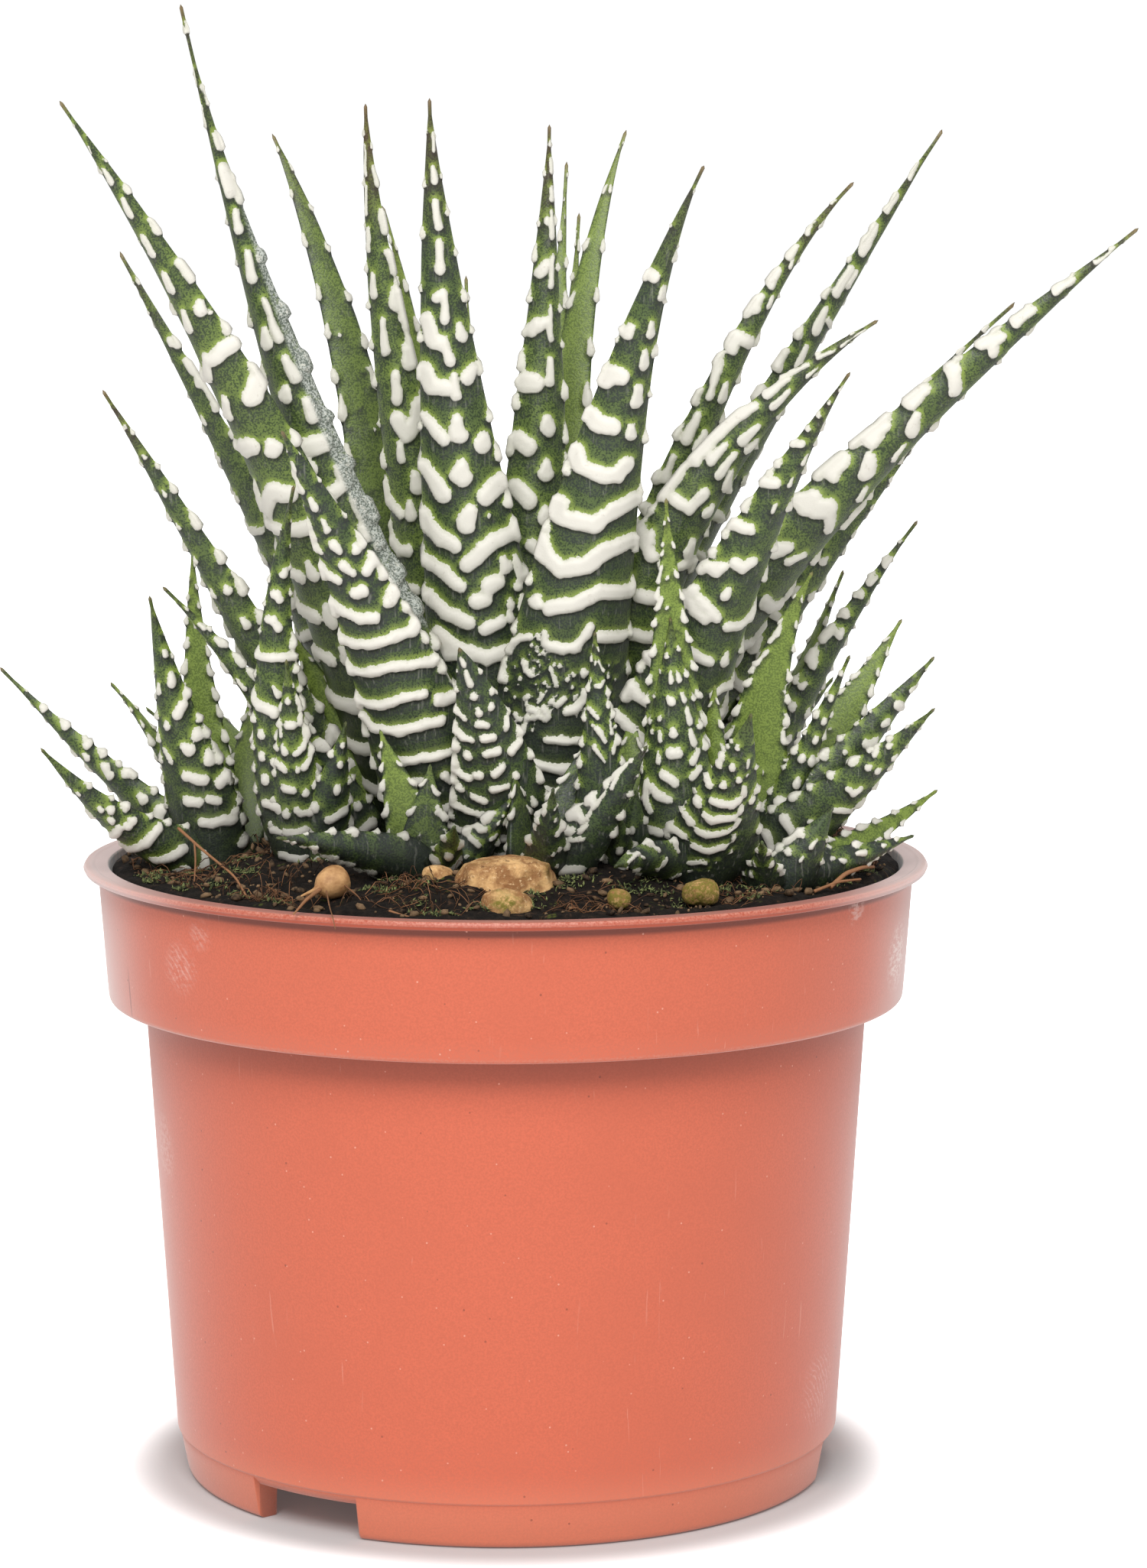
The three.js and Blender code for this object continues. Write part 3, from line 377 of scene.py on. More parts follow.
    "leaf_right": dict(
        first=5, pitch=5.5, arms=(2.5, 1.5), weight=0.8, margin=5.5, tone=0.6, blush=0.3, strokes=(
        (0.45, 48.5, -70, 51.5, -75), (0.7, 53.5, 5, 55.5, 5), (0.55, 54, -60, 57.5, -70),
        (0.45, 60, -55, 63.5, -80), (0.7, 60.5, 25, 62, 5), (0.7, 66.5, -65, 68, -85, 68, 30),
        (0.7, 72, -75, 73.5, -90), (0.45, 73, 30, 74, 15), (0.55, 75.5, -65, 77.5, -95),
        (0.35, 78.5, 10, 79, 0), (0.45, 79.5, -65, 81, -80), (0.3, 83, -65, 85, -110),)),
    "leaf_right_back": dict(
        first=6, pitch=5.2, weight=0.7, margin=5, tone=0.5, strokes=(
        (0.6, 68.5, -40, 71, -50), (0.55, 73.5, -50, 76.5, -65), (0.4, 75, 95, 75.5, -20),
        (0.55, 79, -60, 82.5, -65), (0.45, 80.5, -20, 82.5, -25), (0.5, 85, -60, 86.5, -70, 88.5, -80),
        (0.4, 91, -80, 93.5, -90), (0.25, 96, -70, 98.5, -100),)),
    "leaf_right_arched": dict(
        first=5, pitch=5, arms=(3, 2), weight=0.85, margin=5.5, tone=0.4, strokes=(
        (0.9, 41.5, -70), (0.7, 42, -110, 44.5, -110), (0.8, 42, 60, 43.5, 55),
        (0.6, 46.5, -100, 49.5, -95), (0.7, 47, -65, 47, -15, 49.5, 5), (0.7, 47.5, 55, 48.5, 60),
        (0.6, 51.5, 75, 53.5, 55), (0.55, 52, -90, 55.5, -95, 58.5, -90, 61.5, -75),
        (0.6, 52.5, 15, 55.5, 15), (0.7, 53.5, -50, 55.5, -45), (0.55, 57, 55, 58.5, 75),
        (0.65, 57.5, 5, 60, 20), (0.55, 63, 5, 65.5, 15), (0.45, 63.5, -80, 66.5, -65),
        (0.3, 67.5, -85, 69.5, -65), (0.35, 68.5, 25, 70, 35), (0.3, 71, -70, 73, -10),
        (0.2, 74, 10, 77.5, 45),)),
    "leaf_right_front": dict(
        first=5, pitch=4.2, arms=(2.5, 2), weight=0.7, margin=4.6, tone=0.25, strokes=(
        (0.6, 37, -70, 36.5, -40, 36, -10), (0.65, 37.5, -90, 38, -90), (0.65, 39, -15, 39.5, -15),
        (0.75, 41, -75, 42, -60), (0.65, 43, -110, 42.5, -100), (0.65, 43, -35, 43, -5, 44, 20),
        (0.35, 46.5, -110, 47, -110), (0.65, 47, -110, 47.5, -45), (0.65, 49.5, -110, 50.5, -110),
        (0.3, 50.5, 5, 51.5, 0), (0.6, 53, -110, 53.5, -90, 54, -60), (0.35, 54.5, 25, 55.5, 25),
        (0.5, 56, -110, 56.5, -110), (0.35, 57.5, 55, 58.5, 55), (0.45, 59, -110, 59.5, -55),
        (0.3, 60, 95, 60.5, 95), (0.35, 61.5, -90), (0.25, 62.5, 110, 63, 90), (0.3, 63.5, -70),
        (0.2, 65.5, -55),)),
    "leaf_far_right": dict(
        first=5, pitch=5.5, arms=(2, 2), weight=0.95, margin=5.5, tone=0.4, strokes=(
        (0.95, 45, -45, 46.5, -20), (0.55, 45, 5, 47, 35), (0.85, 46, -80, 48, -90),
        (1.25, 51.5, -70, 53, -70), (0.75, 51.5, 40, 53.5, -15), (1.2, 52, -40, 53, -15),
        (0.65, 54.5, 100, 56.5, 100), (0.9, 56.5, -80, 59, -90), (0.55, 56.5, 55, 58, 45),
        (1.1, 59.5, -5, 61, -35), (0.95, 62.5, -80, 65, -85), (0.45, 63, 45, 65, 35),
        (0.95, 67, 5, 68.5, -30), (0.85, 69, -90, 71.5, -90), (0.8, 74, 10, 75.5, -70, 75.5, -95),
        (0.6, 80, -100, 81, -70, 82.5, -55), (0.6, 80.5, -5, 81.5, -60), (0.6, 85, -75, 87.5, -60),
        (0.45, 91, -75, 93.5, -40), (0.3, 97, -40, 99, -15), (0.2, 101, 100, 101.5, 30),)),
    "leaf_shaded_left": dict(
        first=6, pitch=5, weight=0.7, margin=4.5, tone=0.45, strokes=(
        (0.45, 62.5, 110, 64, 110), (0.55, 66.5, 100, 68, 90), (0.5, 71, 60), (0.4, 75.5, -60),
        (0.25, 79.5, -50),)),
    "leaf_green_back": dict(weight=0.4, margin=5.5, tone=-0.35, strokes=(
        (0.35, 53.5, -173), (0.5, 47.2, -162), (0.3, 56.5, 186), (0.3, 44.5, -143), (0.3, 50.5, -160),
        (0.35, 46, 165), (0.3, 40, -190), (0.3, 54.2, 125), (0.3, 42, 160), (0.3, 43, -175), (0.3, 38, 140),
        (0.3, 36.5, -160), (0.25, 61, -160), (0.25, 66, 170), (0.55, 40, -80, 38.5, 0, 40, 80),
        (0.55, 44.8, -75, 43.5, -10), (0.5, 45, 30, 46, 80), (0.5, 50, -70, 48.8, 10), (0.5, 50.5, 50),
        (0.5, 55.5, -40, 54.5, 60), (0.5, 60.5, -50), (0.45, 61, 40), (0.45, 66.5, 0, 68, 0),
        (0.4, 73, -20, 74.5, -10), (0.4, 80, 10, 81, 10),)),
    "leaf_thin_back": dict(margin=5, tone=0.6),
    "leaf_short_back": dict(margin=5, tone=0.6),
    "leaf_heart_back": dict(margin=7, tone=0.75),
    "leaf_low_left": dict(
        first=4, pitch=4.5, whole=0.1, broken=0.4, weight=0.6, margin=4, tone=0.3, blush=0.3),
}
YOUNG_MARKS = dict(
    strokes=(), first=2.4, pitch=2.9, whole=0.3, broken=0, arms=(1.2, 1.2), weight=0.6,
    margin=2.8, scatter=None, swell=0, tone=0.3, blush=0.1, cork=False,
)

# Strokes of the young leaves that show most, by rosette and leaf
YOUNG_STROKES = {
    ("young_far_left", 0): (
        (0.6, 1.5, 95, 2.5, 110), (0.65, 6, 5, 5.5, 30, 5.5, 55, 5, 75), (0.5, 6, 85),
        (0.55, 8.5, 40, 8, 60), (0.7, 9, -20, 8.5, 10), (0.8, 10, 80, 11, 110), (0.7, 12, -5, 11, 45),
        (0.7, 13, 75, 14, 80), (0.55, 13.5, 110, 15.5, 110), (0.5, 14, -50, 15.5, -75),
        (0.9, 15, 25, 15.5, 15), (0.8, 16.5, 70), (0.45, 17, 110, 17.5, 110), (0.65, 18.5, -40),
        (0.7, 19.5, 20, 20.5, 60), (0.5, 22.5, -65, 23.5, -60), (0.65, 23.5, 40, 24.5, 50),
        (0.4, 27, 55, 27.5, 60),),
    ("young_far_left", 1): (
        (0.75, 12, 45), (0.65, 15.5, 90), (0.7, 17, 25), (0.65, 18, 50), (0.6, 20.5, 10), (0.6, 21.5, 85),
        (0.6, 25, 85), (0.5, 28.5, 65),),
    ("young_far_left", 2): (
        (0.65, 5, -65, 4.5, -25), (0.7, 8, -50, 7, -5, 6, 40), (0.65, 11, -110, 10.5, 0, 10, 75),
        (0.6, 13.5, -110, 14, 0), (0.6, 13.5, 60), (0.6, 13.5, 30), (0.6, 15.5, 5), (0.6, 16.5, 55),
        (0.55, 17, -90), (0.45, 17.5, 20), (0.4, 20.5, -25), (0.4, 22, -85),),
    ("young_left", 0): (
        (0.45, 22.5, 15, 23.5, -10), (0.55, 27, -75, 27, -5, 27, 50, 27, 90),
        (0.55, 30.5, 20, 31.5, -15, 31.5, -55), (0.55, 34, 20, 34.5, -5, 34.5, -40),
        (0.6, 37, 35, 37.5, 50),),
    ("young_left", 1): (
        (0.4, 4, 95), (0.5, 6, 45, 6.5, 85), (0.55, 6, -45, 6, -15, 6.5, 20), (0.4, 6.5, 95, 7.5, 110),
        (0.55, 8.5, 35, 8.5, 60), (0.65, 8.5, -45), (0.45, 8.5, 10, 9, -5), (0.55, 9, 85, 9.5, 110),
        (0.55, 11, 35), (0.55, 11.5, -50, 11.5, -15), (0.5, 11.5, 75, 12, 110), (0.4, 14, 15),
        (0.45, 14, 50, 15, 85), (0.5, 14.5, -90, 14, -50), (0.45, 16, 10, 16.5, 55, 17.5, 90, 18.5, 95),
        (0.45, 16, -50, 17, -65), (0.25, 18, -75, 20, -90), (0.4, 19.5, 75, 20.5, 90),
        (0.6, 19.5, 15, 19.5, -25), (0.35, 21, -110, 22, -110), (0.3, 22, 95, 23, 90), (0.4, 22.5, -20),),
    ("young_left_inner", 1): (
        (0.5, 8.5, 20, 9, 5), (0.55, 9, 60), (0.55, 12, -25), (0.9, 14.5, 45, 14, 110),
        (0.55, 16.5, 110, 17.5, 110),),
    ("young_left_inner", 2): (
        (0.4, 20.5, 15, 21.5, -10), (0.65, 21, 110, 21.5, 110), (0.5, 23.5, 110, 25, 110),
        (0.45, 23.5, -30, 25, -40), (0.45, 26.5, -110, 27.5, -110), (0.45, 26.5, 110, 28, 110),
        (0.4, 29.5, 85, 30.5, 85), (0.35, 32.5, 40, 33, 25),),
    ("young_right_front", 0): (
        (0.45, 7.5, -60, 9, -80, 11, -80), (0.55, 9, -15, 9.5, -45, 10.5, -65), (0.7, 11, 0, 12, -35),
        (0.45, 11.5, 45, 12.5, 70), (0.4, 13.5, -50, 14.5, -55), (0.55, 13.5, 55, 14.5, 70),
        (0.7, 14.5, -15, 14.5, 10), (0.45, 15.5, 65, 17, 60), (0.4, 16, -50, 17, -55), (0.7, 17, 0),
        (0.35, 17, -85), (0.45, 18, 60, 19.5, 60), (0.4, 18.5, -55), (0.6, 20.5, -5, 21, -15),
        (0.35, 20.5, 55, 21.5, 50), (0.35, 23, 45, 24, 40), (0.35, 23, -5, 24, -10), (0.4, 26, -50),),
    ("young_right_front", 1): (
        (0.2, 2, -55, 3, -30), (0.2, 3, -20), (0.2, 3.5, 0), (0.3, 3.5, -50, 4.5, -20), (0.25, 4.5, -10),
        (0.2, 5, 10), (0.25, 6.5, 35, 6, 30), (0.35, 8.5, 35, 7.5, 30), (0.4, 10.5, 40, 9.5, 30),
        (0.35, 12.5, 45, 11.5, 40), (0.3, 15, 45, 14, 55), (0.25, 16.5, 55), (0.3, 18.5, 50, 17.5, 50),
        (0.4, 4, -110), (0.4, 5, -95, 5.5, -110), (0.45, 6, -45, 6, -15, 7, 15), (0.55, 6.5, -70, 6.5, -90),
        (0.45, 7.5, -110), (0.45, 8, -50, 8, -30, 8.5, -5, 9, 15), (0.55, 8.5, -70, 9, -90),
        (0.55, 10.5, -110), (0.45, 10.5, -50, 10, -30, 10.5, -15, 11, 25), (0.7, 11.5, -80), (0.45, 12, 40),
        (0.45, 12.5, -110), (0.5, 12.5, -50, 12.5, -25, 12.5, 10, 13.5, 35), (0.55, 13, 80),
        (0.55, 14, -80, 15, -110), (0.45, 14.5, 50), (0.55, 15, -40), (0.5, 16, 20), (0.5, 17, -90),
        (0.5, 17.5, -30), (0.5, 19.5, -110), (0.4, 20, -40),),
    ("young_right_front", 3): (
        (0.28, 2.5, -70), (0.28, 2.5, -35), (0.3, 3, -80), (0.25, 3, 40), (0.25, 3, -110),
        (0.3, 5, -15, 4.5, 15), (0.3, 5, -60), (0.35, 6, -105), (0.3, 6.5, 80), (0.25, 7, -60),
        (0.35, 8.5, -25, 8, 35), (0.3, 8.5, -110, 10.5, -110), (0.35, 9.5, 70), (0.3, 11.5, -90),
        (0.35, 12, 10), (0.3, 12.5, 55, 14.5, -25), (0.25, 13.5, 80), (0.25, 14.5, -95),),
    ("young_front", 0): (
        (0.35, 5, -40, 7, 10), (0.6, 5.5, -85, 6.5, -45), (0.65, 7.5, -95, 8.5, -75, 8.5, -50),
        (0.45, 7.5, -20, 8.5, -15), (0.3, 9, -30, 10.5, -50), (0.6, 10.5, -95, 11, -90, 11, -60),
        (0.35, 11, -50, 13, -60), (0.5, 13.5, -95), (0.35, 14, -40, 15.5, -65), (0.5, 15, -95, 16.5, -95),
        (0.35, 18, -95), (0.2, 20, -100),),
    ("young_front", 1): (
        (0.35, 1, 95), (0.3, 3.5, 55), (0.35, 3.5, -95), (0.5, 4, -50), (0.3, 5.5, 35), (0.35, 6, 65),
        (0.4, 6.5, -95), (0.45, 8.5, 55), (0.3, 8.5, -95), (0.3, 10.5, 60), (0.35, 11, -85),
        (0.25, 11.5, -80), (0.2, 12, 60),),
    ("young_bright_front", 1): (
        (0.3, 1, -140), (0.3, 1.5, -130), (0.3, 2.5, -190), (0.3, 2.5, -130), (0.3, 3, -180),
        (0.22, 3.5, -180), (0.3, 4, 170), (0.32, 4.5, -105, 4, -110), (0.32, 5, -125), (0.3, 6, -105),
        (0.22, 6.5, -150), (0.28, 7, -130),),
    ("young_bright_front", 3): (
        (0.35, 3, -95), (0.65, 4.5, -90), (0.75, 7, -75), (0.65, 10, -80), (0.65, 12.5, -80),
        (0.5, 13, -120), (0.55, 15.5, -60), (0.55, 15, -120), (0.35, 18, -60), (0.3, 19, -110),),
    ("young_bright_front", 2): (
        (0.35, 2.5, -15), (0.3, 3, 35), (0.4, 4.5, -60, 4.5, -5), (0.4, 6, 35, 6.5, 60),
        (0.35, 6, -95, 6, -70, 6.5, -45), (0.35, 7, -95, 8.5, -95), (0.3, 8, 10), (0.25, 9, 30),
        (0.2, 10.5, 20),),
    ("young_front_right", 0): (
        (0.2, 4.5, 75), (0.15, 4.5, 100), (0.25, 5.5, 50), (0.5, 6.5, 85), (0.35, 7.5, 50), (0.25, 8, 100),
        (0.3, 8.5, 75, 9.5, 95), (0.25, 8.5, 35), (0.35, 10.5, 100), (0.35, 15, -30, 13, 15),
        (0.35, 14.5, 65, 14, 60), (0.3, 15.5, 100), (0.4, 16.5, 70), (0.45, 17, -10, 15.5, 25),
        (0.25, 17, 100), (0.25, 17.5, -40, 16.5, -5), (0.25, 17.5, 75, 17, 70), (0.35, 19.5, -75, 18.5, -5),
        (0.25, 19.5, 70, 20, 75, 19.5, 100), (0.15, 22, -95, 21.5, -90), (0.25, 22, -20, 22, 25, 22.5, 75),
        (0.15, 23, -65, 22.5, -65), (0.15, 25, -25, 24.5, -35), (0.15, 25, 30, 24, 65), (0.15, 25.5, -100),
        (0.15, 26.5, 100, 26, 100), (0.15, 27, -100, 26.5, -100),),
    ("young_far_right", 2): (
        (0.45, 2, -80), (0.25, 2.5, -100, 3.5, -95), (0.5, 4.5, -65), (0.35, 4.5, -10, 5, -10),
        (0.25, 5, -95, 7, -95, 7, -70), (0.35, 6.5, 0, 7.5, 10),),
    ("young_far_right", 3): (
        (0.3, 2, -100), (0.25, 3.5, -100), (0.4, 4, 100), (0.45, 4.5, -70), (0.45, 6.5, 70),
        (0.3, 6.5, -70),),
    ("young_right_front", 2): (
        (0.35, 26.5, -170), (0.15, 29, -170), (0.4, 30, -110), (0.35, 31.5, 175),
        (0.4, 31.5, 110, 32.5, 130), (0.3, 34.5, 105, 36, 110), (0.3, 35, 190), (0.3, 38, 110),),
    ("young_right", 1): (
        (0.45, 8, 110, 8.5, 125, 9.5, 130), (0.5, 11.5, 125, 10.5, 120), (0.45, 13.5, 130, 13, 130),
        (0.4, 14, 110, 13.5, 110), (0.25, 15, 180), (0.4, 15.5, 135), (0.45, 16, 110), (0.35, 18, 185),
        (0.3, 24, 110), (0.2, 27, 110),),
    ("young_right", 0): (
        (0.65, 7, 195), (0.7, 11, -190), (0.35, 13.5, -190), (0.3, 21, -120, 22, -120), (0.4, 22.5, 105),
        (0.45, 25, 130), (0.45, 27.5, 140, 28.5, 140),),
    ("young_right", 2): (
        (0.45, 3, -70, 2.5, -80), (0.55, 5, -55, 5, -35, 6, -10), (0.2, 7, -95), (0.55, 8, -50),
        (0.65, 8, -15), (0.15, 8.5, -90), (0.15, 9, -110), (0.15, 9.5, -85), (0.45, 10, -35),
        (0.5, 10.5, 10, 12, 30), (0.25, 10.5, -60), (0.25, 11, -80), (0.15, 12, -80),
        (0.6, 12.5, -20, 13.5, -20), (0.15, 13, -80), (0.15, 13, -60), (0.7, 16, -5, 15.5, 55),
        (0.35, 16.5, -50), (0.6, 19, -5, 19, 55, 20, 35), (0.65, 22.5, 25, 22, 10), (0.6, 25, 95, 25, -5),
        (0.45, 27.5, 50, 28.5, 90), (0.3, 30.5, 80),),
    ("young_right", 3): (
        (0.45, 7.5, 40), (0.45, 8.5, -15), (0.4, 9, 40), (0.45, 11.5, 10, 12, 40, 12.5, 80),
        (0.45, 14.5, -25, 14.5, 15, 15.5, 25), (0.5, 18, -35), (0.5, 18.5, 20), (0.35, 19.5, -60, 21, -110),
        (0.5, 21, 55), (0.4, 21.5, -50), (0.4, 23, 110), (0.3, 25.5, -110), (0.35, 25.5, 95),),
    ("young_far_right", 1): (
        (0.45, 2.5, -110), (0.45, 3, -80), (0.35, 7, -50), (0.45, 8.5, -25, 8, -35),
        (0.45, 11.5, -25, 10.5, -35), (0.4, 13.5, 110), (0.35, 14.5, -35), (0.3, 15.5, 110),),
    ("young_right_back", 0): (
        (0.5, 20.5, -65, 21, -60), (0.55, 23.5, -75, 24, -80, 25.5, -110), (0.45, 27.5, -95, 29, -90),
        (0.7, 28.5, -35, 29, -30), (0.55, 31, -75, 31.5, -90), (0.5, 34, -70, 34.5, -75),
        (0.45, 36, -70, 37, -45), (0.55, 39, -45, 40, -10),),
}
# Tone of the young leaves that are darker than the usual, by rosette and leaf
YOUNG_TONES = {
    ("young_front", 0): -1, ("young_front", 1): -0.7, ("young_front", 2): -0.7, ("young_front", 3): -0.5,
    ("young_bright_front", 1): -0.5, ("young_bright_front", 2): 0, ("young_front_right", 0): 0.1,
    ("young_front_right", 1): -0.6, ("young_front_right", 2): -0.6, ("young_right_front", 3): -0.5,
    ("young_far_right", 2): -0.2, ("young_far_right", 3): -0.4, ("young_far_right", 1): -0.3,
    ("young_far_right", 0): 0.1, ("young_bright_front", 3): -0.6, ("young_left", 3): -0.2,
    ("young_right_front", 1): 0.1, ("young_left_inner", 1): 0,
}
# Leaves behind the plant, which get a coarser surface, and leaves with small dots, which get a finer one
BACK_LEAVES = (
    "leaf_heart_back", "leaf_slim_back", "leaf_thin_back", "leaf_short_back", "leaf_hidden_back",
    "leaf_shaded_left", "leaf_thin_right", "leaf_shaded_right", "leaf_back_left", "leaf_back",
    "leaf_back_right", "leaf_green_back",
)
DOTTED_LEAVES = ("leaf_big_front", "leaf_low_front", "leaf_stub_front")
# Surfaces of the leaves: mm between rows of points, and columns on the outer and the inner face
LEAF_GRIDS = {
    "main": (0.42, (41, 11)), "back": (0.6, (27, 9)), "dotted": (0.3, (57, 9)),
    "young": (0.4, (27, 9)), "young back": (0.6, (19, 7)),
}
# Skins of the old and the young leaves: name, gloss and strength of the painted shade near the foot
LEAF_SKIN = ("leaf skin", 0.5, 1.0)
YOUNG_SKIN = ("young leaf skin", 0.4, 0.7)
YOUNG_RELIEF = 0.85

# Stones: where the middle of each lies, its half sizes, its turn, a number for its bumps and its moss
STONES = {
    "stone_big": dict(at=(0, -35, 78.4), half=(6.3, 4.2, 3.7), turn=8, bumps=1, moss=0.25),
    "stone_low": dict(at=(0, -42, 77.2), half=(3.4, 2.6, 2.1), turn=-14, bumps=2, moss=0.4),
    "stone_small": dict(at=(-8, -33.6, 79.6), half=(2, 1.6, 1.3), turn=20, bumps=3, moss=0.5),
    "stone_mossy_left": dict(at=(13.1, -41, 77.9), half=(1.3, 1.2, 1.3), turn=0, bumps=4, moss=0.9),
    "stone_mossy_right": dict(at=(22.8, -37.6, 78.2), half=(2.2, 1.9, 1.7), turn=35, bumps=5, moss=0.8),
}
BULB = dict(at=(-20.3, -37, 79.4), radius=2.1, tail=(-3.6, -3, -1.2))

# Loose roots and straws: the points that each passes, the radius at both ends and the tone
STRANDS = (
    ([(-21.7, -39.6, 78.9), (-23.1, -44, 78.4), (-24.4, -47.6, 77.3)], 0.3, 0.1, 0.95),
    ([(-18.8, -38.2, 79.2), (-17.2, -41, 78.4), (-16.2, -43.5, 77.4)], 0.12, 0.05, 0.5),
    ([(-20.9, -39.8, 78.8), (-20.3, -46.5, 78), (-19.8, -50, 77.3), (-19.5, -50.4, 76)], 0.1, 0.05, 0.6),
    ([(-39.8, -14, 82.6), (-36.4, -20, 80.7), (-32.2, -28, 78.8), (-30.6, -33, 77.2)], 0.2, 0.12, 0.95),
    ([(-37.6, -18, 81.4), (-37.4, -19.4, 79.5), (-37.5, -20.5, 77)], 0.14, 0.1, 0.8),
    ([(38.5, -28.5, 77.4), (40.5, -25.5, 78.6), (43, -21, 78.7), (44.5, -17.5, 78.2)], 0.3, 0.2, 1),
    ([(36.5, -30.5, 77.2), (39.5, -27.5, 77.9), (42.5, -23.5, 77.6)], 0.22, 0.14, 0.9),
    ([(-13.5, -44.5, 77.2), (-12, -45.3, 76.8), (-10.6, -46, 76.6)], 0.16, 0.1, 0.9),
)

# Camera, from the pot's axis
CAMERA_PLACE = (0, -586.74, 162.66)
CAMERA_PITCH = 7.432
CAMERA_YAW = 0.821
CAMERA_LENS = 109.13

# Key light in metres, the floor's reach in metres, and the radii over which its painted shadow fades to
# white, in mm
KEY_PLACE = (-0.1, -0.97, 1.05)
KEY_TARGET = (0, 0, 0.09)
KEY_SIZE = 0.7
FLOOR_REACH = 4.0
FLOOR_NEAR, FLOOR_FAR = 42.0, 54.0


def linear(red, green, blue):
    """A colour from its 0 to 255 screen values, as light: the screen's curve is taken off."""
    values = np.array([red, green, blue]) / 255
    light = np.where(values <= 0.04045, values / 12.92, ((values + 0.055) / 1.055) ** 2.4)
    return tuple(float(value) for value in light)


def length_property(name, description, size):
    """A length that a user may change, with its default given in millimetres."""
    return FloatProperty(name=name, description=description, default=size * MM, unit="LENGTH")


def colour_property(name, description, screen):
    """A colour that a user may change, with its default given in screen values."""
    return FloatVectorProperty(
        name=name, description=description, subtype="COLOR", size=3, min=0, max=1, default=linear(*screen))


class HaworthiaPot(PropertyGroup):
    """Sizes and colour of the pot."""

    wall: length_property("Wall", "Thickness of the plastic", 1.3)
    lip_drop: length_property("Lip drop", "Height of the lip's outer face", 1)
    rounding: length_property("Rounding", "Rounding of the plastic's edges", 0.35)
    columns: IntProperty(name="Columns", description="Faces round the pot", default=240, min=60)
    plastic: colour_property("Plastic", "Colour of the plastic", (212, 104, 74))
    worn: colour_property("Worn", "Colour of its worn edges and scuffs", (232, 170, 150))


class HaworthiaSoil(PropertyGroup):
    """Form and colour of the soil and what lies on it."""

    edge: length_property("Edge", "Height of the soil at the wall", 75)
    mound: length_property("Mound", "Rise towards the middle", 5)
    lump: length_property("Lumps", "Height of its broad lumps", 0.6)
    crumb: length_property("Crumb", "Height of its crumbs", 0.95)
    heap: length_property("Heap", "Rise against the wall", 1.1)
    fibres: IntProperty(name="Fibres", description="Roots and coir fibres", default=1300, min=0)
    chips: IntProperty(name="Chips", description="Chips of bark", default=1500, min=0)
    grit: IntProperty(name="Grit", description="Pale grains", default=420, min=0)
    moss: IntProperty(name="Moss", description="Leaflets of moss", default=6400, min=0)
    earth: colour_property("Earth", "Colour of the soil", (34, 27, 22))


class HaworthiaLeaves(PropertyGroup):
    """Relief and colours of all the leaves."""

    relief: length_property("Relief", "Height of the white marks", 0.38)
    slate: colour_property("Slate", "Darkest green, under each band", (42, 50, 44))
    green: colour_property("Green", "Green of an old leaf", (66, 84, 42))
    bright: colour_property("Bright", "Green of a young leaf or an inner face", (120, 140, 58))
    pearl: colour_property("Pearl", "White of the marks", (227, 223, 212))
    tan: colour_property("Tan", "Dry tips and blemishes", (128, 104, 74))
    blush: colour_property("Blush", "Red of the tips", (92, 46, 32))


class HaworthiaStage(PropertyGroup):
    """Light and floor."""

    floor: colour_property("Floor", "Colour of the floor", (244, 244, 244))
    sky: FloatProperty(name="Surroundings", description="Light from all round", default=0.5, min=0)
    key: FloatProperty(name="Key light", description="Power of the soft light above", default=15, min=0)


LATTICE_SIZE = 32
LATTICE = np.random.default_rng(11).uniform(-1, 1, (LATTICE_SIZE, LATTICE_SIZE, LATTICE_SIZE))


def value_noise(points, size):
    """Random values from -1 to 1 at the corners of a cubic lattice, blended by smoothstep in between."""
    scaled = np.asarray(points, dtype=float) / size
    cell = np.floor(scaled).astype(int)
    part = scaled - cell
    part = part * part * (3 - 2 * part)
    total = np.zeros(scaled.shape[:-1])
    for corner in np.ndindex(2, 2, 2):
        index = (cell + corner) % LATTICE_SIZE
        weight = np.prod(np.where(np.array(corner) == 1, part, 1 - part), axis=-1)
        total += weight * LATTICE[index[..., 0], index[..., 1], index[..., 2]]
    return total


def layered_noise(points, size, layers):
    """A sum of value noises, each half as high and half as wide as the one before, from -1 to 1."""
    total = sum(value_noise(points, size / 2 ** i) / 2 ** i for i in range(layers))
    return total / sum(1 / 2 ** i for i in range(layers))


def smoothstep(values, low, high):
    """0 below low and 1 above high, with a smooth rise between them."""
    part = np.clip((values - low) / (high - low), 0, 1)
    return part * part * (3 - 2 * part)


def unit(vectors):
    """The same directions with a length of one."""
    return vectors / np.maximum(np.linalg.norm(vectors, axis=-1, keepdims=True), 1e-12)


